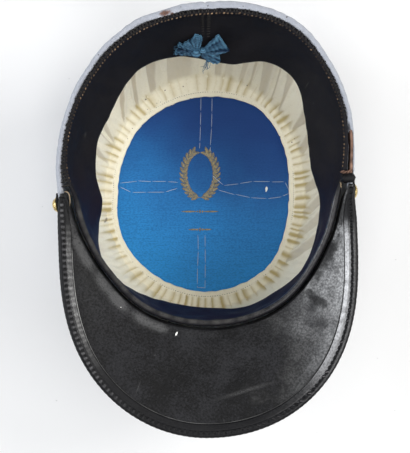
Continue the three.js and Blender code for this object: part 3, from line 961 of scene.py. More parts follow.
PEAK_LEATHER = Leather(
    "peak_leather",
    skin=(0.0030, 0.0030, 0.0034),
    worn=(0.0245, 0.0247, 0.0275),
    dust_and_sheen=(0.115, 0.115, 0.116),
    pebble=1.15,
    relief=0.34,
    gloss=(0.55, 0.75),
    specular=0.2,
    coat=1.0,
    rubbed=(Spot(106.0, -57.0, 114.0, 76.0, 68.0),),
    dull_and_shaded=(
        Spot(66.6, -66.2, 10.5, 5.2, -38.0), Spot(71.5, -41.0, 25.0, 6.5, 62.0),
        Spot(58.0, -58.0, 6.5, 4.0, 40.0), Spot(80.5, -9.0, 22.0, 6.0, 84.0),
    ),
    scuffs=(
        Spot(-39.5, -117.3, 6.5, 0.5, 70.0), Spot(23.6, -119.6, 27.0, 1.8, 17.0),
        Spot(-76.5, -21.5, 3.6, 0.8, -60.0), Spot(-73.3, -32.3, 1.3, 0.8),
        Spot(-51.2, -65.0, 1.8, 0.9, 30.0), Spot(61.6, -68.8, 3.8, 0.45, -45.0),
        Spot(-30.0, -99.0, 1.0, 0.8), Spot(74.5, -75.6, 4.6, 0.4, -6.0),
        Spot(66.0, -83.0, 7.0, 1.2, 30.0), Spot(11.2, -136.5, 1.5, 0.6, 100.0),
        Spot(-50.2, -70.8, 1.0, 0.8), Spot(-63.0, -50.5, 2.4, 1.2, -40.0),
    ),
    flecks=(
        Spot(-17.2, -86.6, 1.35, 0.62, 60.0), Spot(-50.4, -70.4, 0.3, 0.25), Spot(48.6, -128.6, 0.4, 0.3),
    ),
)
BINDING_LEATHER = Leather(
    "binding_leather",
    skin=(0.003, 0.003, 0.004),
    worn=(0.0095, 0.0095, 0.0108),
    dust_and_sheen=(0.19, 0.188, 0.195),
    pebble=0.9,
    relief=0.12,
    gloss=(0.45, 0.6),
    specular=0.2,
    coat=1.0,
)
BAND_LEATHER = Leather(
    "sweatband_leather",
    skin=(0.0080, 0.0077, 0.0098),
    worn=(0.0118, 0.0112, 0.0140),
    dust_and_sheen=(0.085, 0.082, 0.078),
    pebble=0.6,
    relief=0.1,
    gloss=(0.5, 0.66),
    specular=0.12,
    coat=0.6,
    scuffs=(
        Spot(-35.0, 76.0, 4.0, 1.6, 40.0), Spot(29.0, 84.0, 0.5, 0.4), Spot(62.0, 64.0, 3.0, 0.6, 60.0),
        Spot(-73.0, 34.0, 3.0, 0.8, 70.0), Spot(76.0, 24.0, 0.6, 0.4), Spot(66.0, 53.0, 1.0, 0.4, 60.0),
    ),
    tint=(0.0105, 0.0062, 0.0215),
)
BROWN_THREAD = Fibre("brown_thread", (0.38, 0.25, 0.15), (0.018, 0.013, 0.011), marked=True)
BLACK_THREAD = Fibre("black_thread", (0.030, 0.027, 0.026), (0.008, 0.008, 0.008))
WHITE_THREAD = Fibre("white_thread", (0.62, 0.69, 0.80), (0.32, 0.42, 0.58))
HEM_THREAD = Fibre("hem_thread", (0.26, 0.20, 0.12), (0.12, 0.09, 0.05))
# its light colour only paints glints on a few of the binding's stitches
WAXED_THREAD = Fibre("waxed_thread", (0.150, 0.140, 0.145), (0.006, 0.006, 0.007), 0.4, 0.4, marked=True)
GROOVE_LINE = Fibre("groove_line", (0.52, 0.52, 0.51), (0.004, 0.004, 0.004), 0.5, 0.6, marked=True)
RAW_EDGE = Fibre("raw_edge", (0.42, 0.33, 0.22), (0.12, 0.085, 0.05), 0.5, 0.9)
BUCKRAM = Fibre("buckram", (0.42, 0.25, 0.18), (0.04, 0.020, 0.015), 0.7, 0.95, marked=True)
RIBBON = Fibre("ribbon", (0.095, 0.235, 0.36), (0.004, 0.018, 0.050), 0.45, 0.5, marked=True)
GILT = Metal("gilt", (0.82, 0.66, 0.32), (0.34, 0.24, 0.09), 1.2)
GOLD_STAMP = Metal("gold_stamp", (0.33, 0.25, 0.11), (0.07, 0.11, 0.15), 0.9, 0.3)


@dataclass
class ClothShell:
    """The cloth crown and head band, with the stiffener that shows where the rim is worn through."""

    crown_rows: tuple[float, ...] = (12.0, 5.0, 2.5)  # in from the crown's edge
    seams: tuple[float, ...] = (0.0, 90.0, 180.0, 270.0)  # degrees of the wall's seams
    back_seam: float = 180.0  # degrees of the band's seam
    band_height: float = 38.0
    hem_radius: float = 1.5
    hem_middle: float = -0.9  # from the wall's face
    band_swell: float = 0.5
    rear_turn: float = 1.9  # how much wider the hem is turned in at the back
    worn: Place = (88.6, 105.4)  # degrees over which the rim is worn through
    worn_depth: float = 7.0
    torn: Place = (105.4, 108.2)  # and over which its inner side is torn
    strip_half: float = 0.75  # half the stiffener's thickness
    steps: int = 560

    def crown_rings(self) -> Array:
        """The flat crown, from its upper face round its edge to the face on the ground.

        Returns:
            Rings, one row for each.
        """
        angle = np.radians(full_turn(360))
        thick, rows = FORM.crown_thickness, np.array(self.crown_rows)
        turn = np.linspace(-math.pi / 2, math.pi / 2, 13)
        shrink = np.concatenate([rows, thick / 2 * (1.0 - np.cos(turn)), rows[::-1]])
        height = np.concatenate([0.0 * rows, thick / 2 * (1.0 + np.sin(turn)), 0.0 * rows + thick])
        x = (FORM.crown_half_width - shrink) * np.sin(angle)
        y = -(FORM.crown_half_length - shrink) * np.cos(angle)
        return np.swapaxes(vec(x, y, height), 0, 1)

    def crown_side(self) -> Array:
        """The wall from the crown up to the band, with soft dents and sewn seams.

        Returns:
            Closed sections round the wall.
        """
        angle = full_turn(self.steps)
        share = shares(46)[None]
        low = FORM.at_height(angle, FORM.crown_thickness + GAP)
        rise = lerp(low, FORM.down(angle, self.band_height + GAP), share)
        dents = 0.7 * crumple(angle, share, Seed.WALL_DENTS, 3, 9)
        dents = dents + 0.25 * crumple(angle, share, Seed.WALL_CREASES, 14, 30)
        aside = [np.abs(turn_between(seam, angle)) for seam in self.seams]
        seam = sum(bell(way, 0.45) for way in aside)
        puff = sum(bell(way - 1.5, 1.0) for way in aside)
        ends = np.minimum(share, 1.0 - share)
        outer = dents * smooth(ends, 0.0, 0.15) - 0.7 * seam + 0.25 * puff - tuck(ends * 60.0, 0.9)
        front, back = FORM.wall(angle, rise, outer), FORM.wall(angle, rise, -FORM.cloth)
        return beside(front, back[:, ::-4])

    def worn_share(self, angle: Array, span: Place) -> Array:
        """1 between two angles, for a rim that is worn or torn there."""
        start, end = span
        return between(angle, start, start + 0.9, end - 0.8, end)

    def band(self) -> Array:
        """The head band, with a rounded hem that is worn away over the stiffener.

        Returns:
            Closed sections round the band.
        """
        angle = full_turn(self.steps)
        bend = np.linspace(0.0, math.pi, 15)
        side = np.linspace(self.band_height, self.hem_radius, 26)[:-1]
        back = side[::-5]
        down = np.concatenate([side, self.hem_radius * (1.0 - np.sin(bend)), back])[None]
        swell = self.band_swell * np.sin(math.pi * side / self.band_height)
        outer = self.hem_middle + self.hem_radius + swell - tuck(self.band_height - side, 0.7)
        inner = np.full(len(back), self.hem_middle - self.hem_radius)
        proud = np.concatenate([outer, self.hem_middle + self.hem_radius * np.cos(bend), inner])[None]
        upper = bell(down, 2.2)
        proud = proud - FORM.at_rear(angle) * self.rear_turn * upper * (proud < self.hem_middle)
        fuzz = 0.14 * wobble(angle, Seed.HEM_FUZZ, 40, 120) + 0.22 * wobble(angle, Seed.HEM_WAVES, 6, 24)
        dents = 0.45 * crumple(angle, down / self.band_height, Seed.BAND_DENTS, 4, 14)
        dents = dents * smooth(down, 1.0, 14.0) - 0.5 * bell(turn_between(self.back_seam, angle), 0.4)
        proud = proud + dents * (proud > self.hem_middle) + fuzz * upper
        ragged = 1.0 + 0.12 * wobble(angle, Seed.WORN_EDGE, 30, 90)
        worn = smooth(-proud, 0.0, 0.5) * self.worn_share(angle, self.worn)
        torn = smooth(-proud, 1.2, 1.8) * self.worn_share(angle, self.torn)
        cut = clip01(np.maximum(worn, torn) * ragged)
        down = lerp(down, np.maximum(down, self.worn_depth), cut) + 0.1 * fuzz * upper
        return FORM.wall(angle, FORM.down(angle, down), proud)

    def stiffener(self) -> Solid:
        """The tan strip in the worn rim, with a ragged top that is darker in its breaks.

        Returns:
            The strip.
        """
        start, end = self.worn
        half, low = self.strip_half, self.worn_depth
        angle = np.linspace(start - 0.3, end + 0.3, 260)[:, None]
        bend = np.linspace(0.0, math.pi, 11)
        breaks = wobble(angle, Seed.BUCKRAM_BREAKS, 20, 110)
        down = np.concatenate([[low], half * (1.0 - np.sin(bend)), [low + 0.2]])[None]
        proud = np.concatenate([[half], half * np.cos(bend), [-half]])[None] - 1.0
        proud = proud + 0.08 * wobble(angle, Seed.BUCKRAM_FACE, 20, 60)
        ragged = (0.4 - 0.28 * breaks) * (down < low - 0.5)
        places = FORM.wall(angle, FORM.down(angle, down + ragged), proud)
        return Solid.skin(places, Closing.CAPPED, shade=clip01(0.5 + 0.22 * breaks))

    def dress(self) -> list[Piece]:
        """Makes the cloth pieces.

        Returns:
            The crown, the wall, the band and the stiffener.
        """
        wool = Wool().material()
        top = Solid.skin(self.crown_rings(), Closing.CAPPED)
        side, band = (Solid.skin(rows, Closing.RING) for rows in (self.crown_side(), self.band()))
        return [
            make_piece("crown_cloth", top, wool, ["crown_top"]),
            make_piece("crown_wall", side, wool, ["crown_side"]),
            make_piece("head_band", band, wool, ["band"]),
            make_piece("rim_stiffener", self.stiffener(), BUCKRAM.material(), ["stiffener"]),
        ]


@dataclass
class Sweatband:
    """The black leather band inside the rim, with its overcast stitches and its seam at the back."""

    depth: float = 41.0
    half: float = 0.6
    lean: float = 0.4
    top_drop: float = 0.2
    front_lift: float = 2.6
    roll: float = 1.2
    lip: float = 1.0  # how far its top turns in where no peak is sewn on
    stitch_step: float = 1.45  # degrees
    sewn: Place = (92.0, 276.0)  # degrees over which the rim's stitches show
    overcast_start: float = 112.0  # degrees, past the worn rim
    columns: tuple[Place, ...] = ((180.9, 0.5), (178.6, 0.75))  # the back seam: middles and half widths
    waves: Turn = Turn((  # how far the free edge is in from the rim
        (0, 14.8), (15, 10.6), (30, 11.4), (45, 8.8), (60, 11.3), (75, 13.2), (90, 20.6), (105, 24.3),
        (120, 23.0), (135, 19.0), (150, 24.0), (165, 31.0), (180, 27.8), (195, 23.0), (215, 19.4),
        (240, 21.0), (257, 18.8), (283, 21.4), (295, 17.0), (308, 8.9), (320, 9.0), (331, 10.8),
        (342, 13.2),
    ))
    steps: int = 640

    def middle(self, angle: Number, t: Number) -> Array:
        """A point in the middle of the leather.

        Args:
            angle: Degrees from the front.
            t: 0 at the rim and 1 at the free edge.

        Returns:
            The point.
        """
        rim = FORM.inset(angle, 0.0)[..., 2]
        top = FORM.inset(angle, FORM.crest(angle))
        edge = FORM.inset(angle, self.waves(angle))
        lean = t * lerp(self.lean, 1.0, t)
        top_height = rim + lerp(-self.top_drop, self.front_lift, FORM.behind_peak(angle))
        x, y = (lerp(top[..., axis], edge[..., axis], lean) for axis in (0, 1))
        return vec(x, y, lerp(top_height, rim - self.depth, t))

    def outwards(self, angle: Number, t: Number) -> Array:
        """Direction out of the band, away from the head."""
        along = self.middle(angle + 0.5, t) - self.middle(angle - 0.5, t)
        return unit(np.cross(along, self.middle(angle, t - 0.01) - self.middle(angle, t + 0.01)))

    def thickness(self, angle: Number, down: Number) -> tuple[Array, Array]:
        """How far the two faces stand off the middle.

        Args:
            angle: Degrees from the front.
            down: Depth under the top.

        Returns:
            The way outwards and the way inwards.
        """
        behind = FORM.behind_peak(angle)
        half = self.half + self.roll * behind * bell(down - 2.2, 4.6)
        lip = self.lip * (1.0 - behind) * (1.0 - smooth(down, 0.9, 5.5))
        round_top, end = rounded(down, 1.0), tuck(self.depth - down, self.half)
        return half * round_top - end, (half + lip) * round_top - end

    def inner(self, angle: Number, down: Number) -> Array:
        """A point on the face towards the head."""
        t = np.asarray(down, float) / self.depth
        return self.middle(angle, t) - self.outwards(angle, t) * self.thickness(angle, down)[1][..., None]

    def shell(self) -> Solid:
        """The leather, with soft dents, dust with a painted highlight and polish on its roll, and a tint
        low in front.

        Returns:
            The leather.
        """
        angle = full_turn(self.steps)
        t = np.concatenate([np.linspace(0.0, 0.03, 9)[:-1], np.linspace(0.03, 1.0, 40)])[None]
        down = self.depth * t
        dents = 0.5 * crumple(angle, t, Seed.LEATHER_DENTS, 5, 17) * smooth(t, 0.1, 0.5)
        dents = dents + 0.1 * crumple(angle, t, Seed.LEATHER_CREASES, 30, 60)
        dents = dents * smooth(t, 0.02, 0.1)
        outer, inner = self.thickness(angle, down)
        middle, out = self.middle(angle, t), self.outwards(angle, t)
        shown = middle - out * (inner - dents)[..., None]
        hidden = (middle + out * (outer + dents)[..., None])[:, ::-3]
        roll = FORM.behind_peak(angle) * bell(down - 1.4, 1.9)
        right = smooth(turn_between(0.0, angle), 10.0, 40.0)
        patches = clip01(0.75 + 0.25 * wobble(angle, Seed.ROLL_DUST, 20, 90))
        # the dust on the roll's crest also paints the highlight along it
        marks = {
            "dust_and_sheen": roll * (1.0 - 0.8 * right) * patches,
            "polish": 0.9 * roll * right,
            "deep": np.broadcast_to(smooth(down, 4.0, 9.0), roll.shape),
        }
        marks = padded(marks, hidden.shape[1], 0)
        return Solid.skin(beside(hidden, shown), Closing.RING, **marks)

    def rim_stitches(self) -> Solid:
        """Short brown stitches along the lip, paler at the worn stretch and at the back left.

        Returns:
            The stitches.
        """
        rng = np.random.default_rng(Seed.RIM_STITCHES)
        angle = np.arange(*self.sewn, self.stitch_step)
        count = len(angle)
        angle = angle + rng.normal(0.0, 0.12, count)
        down = 1.3 + rng.normal(0.0, 0.16, count) + 0.5 * (angle < 113.0)
        slant = rng.normal(0.35, 0.12, count)
        half = rng.uniform(0.18, 0.34, count)
        starts = self.inner(angle - half, down - slant)
        ends = self.inner(angle + half, down + slant)
        pale = 0.1 + 0.7 * (angle < 108.0)
        pale = pale + 0.4 * bell(angle - 222.0, 18.0) + 0.35 * bell(angle - 182.0, 22.0)
        stray = 0.45 * (rng.uniform(size=count) < 0.18)
        shade = clip01(pale * rng.uniform(0.2, 1.4, count) + stray)
        return Solid.stitches(starts, ends, UP, 0.5, 0.45, shade=shade)

    def overcast(self) -> Solid:
        """Black threads from the lip over the inner edge of the cloth.

        Returns:
            The threads.
        """
        rng = np.random.default_rng(Seed.OVERCAST)
        angle = np.arange(self.overcast_start, self.sewn[1], 0.95 * self.stitch_step)
        count = len(angle)
        angle = angle + rng.normal(0.0, 0.3, count)
        starts = self.inner(angle, np.full(count, 0.35))
        reach = -2.75 + rng.uniform(0.0, 0.75, count) - 1.5 * FORM.at_rear(angle)
        ends = FORM.wall(angle + rng.normal(0.25, 0.25, count), FORM.down(angle, 0.25), reach)
        return Solid.stitches(starts, ends, UP, 0.5, 0.4)

    def back_seam(self) -> Solid:
        """Two columns of short level stitches where the leather's ends meet.

        Returns:
            The stitches.
        """
        rng = np.random.default_rng(Seed.BACK_SEAM)
        down = np.arange(4.0, 27.0, 2.1)
        parts = []
        for place, half in self.columns:
            tilt = rng.normal(0.1, 0.12, len(down))
            middle = np.full(len(down), place)
            starts, ends = self.inner(middle - half, down - tilt), self.inner(middle + half, down + tilt)
            parts.append(Solid.stitches(starts, ends, -self.outwards(middle, down / self.depth), 0.42, 0.4))
        return Solid.join(parts)

    def dress(self) -> list[Piece]:
        """Makes the leather band and its stitches.

        Returns:
            The leather, and the stitches of its rim and its seam.
        """
        leather, brown, black = (kind.material() for kind in (BAND_LEATHER, BROWN_THREAD, BLACK_THREAD))
        return [
            make_piece("leather_sweatband", self.shell(), leather, ["sweatband"]),
            make_piece("rim_stitches", self.rim_stitches(), brown),
            make_piece("rim_overcast", self.overcast(), black),
            make_piece("back_seam_stitches", self.back_seam(), black),
        ]


FOLD_LOW, FOLD_HIGH = 0.1, 0.55  # shares up the wall at which the silk's folds are given
FOLD_NARROW = 0.5  # degrees, the least width of a fold's flank


@dataclass(frozen=True)
class Fold:
    """A fold of the silk wall, with painted shade on its flank from its edge to its ridge.

    edge and ridge are angles low on the wall and half way up. Past the ridge the silk falls off over tail
    degrees.
    """

    edge: Place
    ridge: Place
    depth: float
    tail: float
    shade: float

    def shape(self, angle: Array, climb: Array) -> tuple[Array, Array]:
        """Height of the fold off the wall, and its painted shade.

        Args:
            angle: Angles round the wall, as a column.
            climb: Shares up the wall, as a row.

        Returns:
            The height in millimetres, and the painted shade from 0 to 1.
        """
        up = (climb - FOLD_LOW) / (FOLD_HIGH - FOLD_LOW)
        edge, ridge = lerp(*self.edge, up), lerp(*self.ridge, up)
        width = ridge - edge
        side = np.where(width < 0, -1.0, 1.0)
        wide = np.maximum(np.abs(width), FOLD_NARROW)
        away = turn_between(edge, angle) * side
        fall = 1.0 - smooth(away - wide, 0.0, self.tail)
        inside = smooth(away, -0.15, 0.25) * (1.0 - smooth(away / wide, 0.75, 1.15))
        height = self.depth * clip01(away / wide) * fall * (away > 0)
        return height, self.shade * inside * smooth(np.abs(width), 0.05, 0.6)


@dataclass
class Lining:
    """The cream silk that lines the wall, gathered into a sewn hem round the crown."""

    floor: float = 4.1
    wall_inset: float = 2.55
    crease_inset: float = 0.6
    top_under_rim: float = 43.0
    wall_way: float = 40.0  # way up the wall
    thickness: float = 0.5
    hem_width: float = 3.1
    hem_stitch: Place = (1.35, 0.6)  # degrees from one stitch to the next, and of a stitch
    gathers: int = 90
    gather_height: float = 1.1
    wall_lean: float = 6.5  # degrees that the side gathers lean forwards up the wall
    floor_lean: float = 5.0  # degrees that the corner gathers lean to the sides before it
    gather_climb: Turn = Turn((  # share of the wall that the gathers run up
        (0, 0.5), (40, 0.35), (75, 0.4), (105, 0.3), (180, 0.16), (235, 0.2), (262, 0.6), (320, 0.75),
    ))
    hem_plan: Turn = Turn((
        (0, 65.4), (15, 65.1), (30, 64.6), (45, 63.4), (60, 59.6), (75, 56.9), (90, 55.8), (105, 57.4),
        (120, 60.7), (135, 64.2), (148, 66.7), (160, 66.0), (180, 64.3), (210, 62.4), (228, 61.3),
        (240, 59.5), (270, 58.0), (285, 60.2), (300, 62.4), (315, 63.2), (330, 63.9), (345, 64.6),
    ))
    folds: tuple[Fold, ...] = (
        Fold((52.0, 57.0), (57.0, 63.0), 2.4, 5.0, 0.7),
        Fold((66.0, 70.0), (69.5, 75.0), 2.2, 6.0, 0.6),
        Fold((77.0, 79.5), (80.5, 84.5), 2.2, 5.0, 0.65),
        Fold((89.0, 90.0), (93.0, 95.0), 2.0, 6.0, 0.7),
        Fold((108.0, 112.5), (112.0, 117.0), 2.0, 5.0, 0.7),
        Fold((121.0, 119.0), (121.5, 125.0), 2.6, 5.0, 0.75),
        Fold((135.0, 139.8), (133.2, 135.6), 2.4, 5.5, 0.65),
        Fold((141.2, 144.5), (139.8, 142.9), 1.8, 2.5, 0.75),
        Fold((149.2, 153.0), (144.2, 146.5), 2.2, 1.6, 0.6),
        Fold((155.2, 156.6), (153.8, 155.0), 1.2, 1.0, 0.65),
        Fold((161.2, 161.6), (158.4, 158.8), 1.3, 2.2, 0.5),
        Fold((169.4, 169.8), (165.0, 165.4), 1.0, 3.0, 0.35),
        Fold((174.8, 175.0), (171.0, 171.2), 1.4, 1.4, 0.6),
        Fold((201.2, 198.2), (186.5, 184.6), 1.8, 4.0, 0.55),
        Fold((212.2, 209.0), (208.5, 204.5), 2.4, 4.5, 0.75),
        Fold((222.2, 217.8), (220.4, 215.9), 2.2, 4.0, 0.85),
        Fold((223.6, 219.6), (223.0, 218.9), 0.8, 1.0, 0.4),
        Fold((233.0, 226.0), (232.4, 223.8), 2.6, 5.0, 0.9),
        Fold((245.0, 242.2), (244.4, 239.4), 2.2, 4.5, 0.65),
        Fold((247.0, 245.6), (246.3, 244.6), 0.9, 1.2, 0.6),
        Fold((256.0, 255.0), (254.5, 252.0), 1.8, 5.0, 0.6),
        Fold((266.0, 264.0), (264.0, 261.0), 1.4, 4.0, 0.4),
        Fold((284.0, 282.0), (281.0, 278.0), 1.2, 5.0, 0.25),
        Fold((300.0, 302.0), (296.0, 297.0), 1.4, 6.0, 0.3),
    )
    steps: int = 1200
    floor_rows: int = 23
    wall_rows: int = 34

    def gather(self, angle: Array) -> tuple[Array, Array]:
        """The gathers round the crown, lower at the back, with painted shade that is stronger at the right.

        Args:
            angle: Angles round the crown.

        Returns:
            Their height, from 0 in their valleys to about 1, and their painted shade.
        """
        rng = np.random.default_rng(Seed.GATHERS)
        at = angle % 360.0
        bounds = np.concatenate([[0.0], np.cumsum(rng.uniform(1.1, 2.1, self.gathers))])
        bounds *= 360.0 / bounds[-1]
        index = np.clip(np.searchsorted(bounds, at, side="right") - 1, 0, self.gathers - 1)
        share = (at - bounds[index]) / np.diff(bounds)[index]
        height = rng.uniform(0.55, 1.0, self.gathers)[index] * (1.0 - 0.5 * bell(at - 188.0, 30.0))
        skewed = share ** (2.0 ** rng.uniform(-0.7, 0.7, self.gathers)[index])
        lee = np.where(rng.uniform(size=self.gathers)[index] < 0.5, skewed, 1.0 - skewed)
        lobe = np.sin(math.pi * skewed) ** 0.8
        # painted shade on each gather's lee flank and in its valley, made stronger at the right in the
        # return
        shade = 0.6 * smooth(lee, 0.25, 0.85) + 0.75 * (1.0 - lobe) ** 1.3
        return height * lobe, height * shade * (1.0 + 0.3 * bell(at - 78.0, 30.0))

    def folding(self, angle: Array, climb: Array) -> tuple[Array, Array]:
        """The folds and creases of the wall.

        Args:
            angle: Angles round the wall, as a column.
            climb: Shares up the wall.

        Returns:
            Their height off the wall, and their painted shade.
        """
        height, shade = np.max([fold.shape(angle, climb) for fold in self.folds], axis=0)
        creases = 0.28 * crumple(angle, climb, Seed.SILK_CREASES, 20, 70)
        return height + creases + 0.16 * crumple(angle, climb, Seed.SILK_CRINKLES, 60, 150), shade

    def surface(self, angle: Array) -> tuple[Array, Array, Array, Array]:
        """The silk's bed.

        Args:
            angle: Angles round the crown, as a column.

        Returns:
            The bed's points, the directions off it, the way from the hem and the share up the wall.
        """
        notch = 0.5 * smooth(wobble(angle, Seed.HEM_NOTCHES, 60, 150), 1.1, 2.2)
        hem_radius = self.hem_plan(angle) + 0.13 * wobble(angle, Seed.HEM_LINE, 14, 60) + notch
        turn = np.radians(angle)
        hem = vec(hem_radius * np.sin(turn), -hem_radius * np.cos(turn), self.floor)
        low = FORM.at_height(angle, self.floor)
        crease = FORM.wall(angle, low, -self.wall_inset - self.crease_inset)
        across = shares(self.floor_rows)[None]
        level = hem + (crease - hem) * across[..., None]
        climb = shares(self.wall_rows + 1)[None, 1:] ** 1.25
        top = FORM.inset(angle, 0.0)[..., 2] - self.top_under_rim
        rise = FORM.at_height(angle, lerp(self.floor, top, climb))
        bed = beside(level, FORM.wall(angle, rise, -self.wall_inset))
        off = beside(np.broadcast_to(UP, level.shape), -FORM.normal(angle, rise))
        for rows in (bed, off):
            relax(rows, 8)
        way = across * np.linalg.norm(crease - hem, axis=-1)
        way = beside(way, way[:, -1:] + climb * self.wall_way)
        climbs = beside(np.zeros(level.shape[:2]), np.broadcast_to(climb, rise.shape))
        return bed, unit(off), way, climbs

    def sheet(self) -> Solid:
        """The silk as one closed skin.

        Returns:
            The silk.
        """
        angle = full_turn(self.steps)
        bed, off, way, climb = self.surface(angle)
        start = self.hem_width
        turn = np.radians(angle)
        floor_share = np.minimum(way / way[:, self.floor_rows - 1:self.floor_rows], 1.0)
        lean = self.wall_lean * np.sin(turn) * climb - self.floor_lean * np.sin(2.0 * turn) * floor_share
        slant = 0.1 * wobble(angle, Seed.GATHER_SLANT, 4, 16) * np.clip(way - start, 0.0, 5.0)
        gather, shady = self.gather(angle + slant + lean)
        climbed = climb / self.gather_climb(angle)
        fade = smooth(way, start - 0.3, start + 1.8) * (1.0 - 0.95 * smooth(climbed, 0.15, 1.0))
        folding, shaded = self.folding(angle, climb)
        spill = 0.22 * smooth(way, start + 1.5, start + 8.0)
        share = np.maximum(spill, smooth(climb, 0.0, 0.2)) * (1.0 - 0.7 * smooth(climb, 0.6, 1.0))
        sewn = bell(way - start, 0.45) * (0.8 + 0.2 * np.cos(turn * 4 * self.gathers))
        lift = self.thickness * rounded(way, 0.6) + self.gather_height * gather * fade
        lift = np.maximum(lift + folding * share - 0.22 * sewn, 0.1)
        shown, hidden = bed + off * lift[..., None], bed[:, ::-6]
        # the marks: the gathers' yellowing with their painted shade, and the painted shade of the folds'
        # flanks
        marks = {"yellowing_and_shade": clip01(shady * fade), "fold": clip01(shaded * smooth(climb, 0.0, 0.1))}
        marks = padded(marks, 0, hidden.shape[1])
        return Solid.skin(beside(shown, hidden), Closing.RING, **marks)

    def hem_stitches(self) -> Solid:
        """The dotted line of stitches that holds the gathers.

        Returns:
            The stitches.
        """
        step, long = self.hem_stitch
        angle = np.arange(0.0, 360.0, step)
        radius = self.hem_plan(angle) + self.hem_width + 0.1
        height = self.floor + self.thickness + 0.05
        turns = (np.radians(at) for at in (angle, angle + long))
        starts, ends = (vec(radius * np.sin(turn), -radius * np.cos(turn), height) for turn in turns)
        return Solid.stitches(starts, ends, UP, 0.18, 0.22)

    def dress(self) -> list[Piece]:
        """Makes the silk and its stitches.

        Returns:
            The silk and the stitches.
        """
        silk = make_piece("silk_lining", self.sheet(), Silk().material(), ["lining"])
        stitches = make_piece("hem_stitches", self.hem_stitches(), HEM_THREAD.material())
        return [silk, stitches]


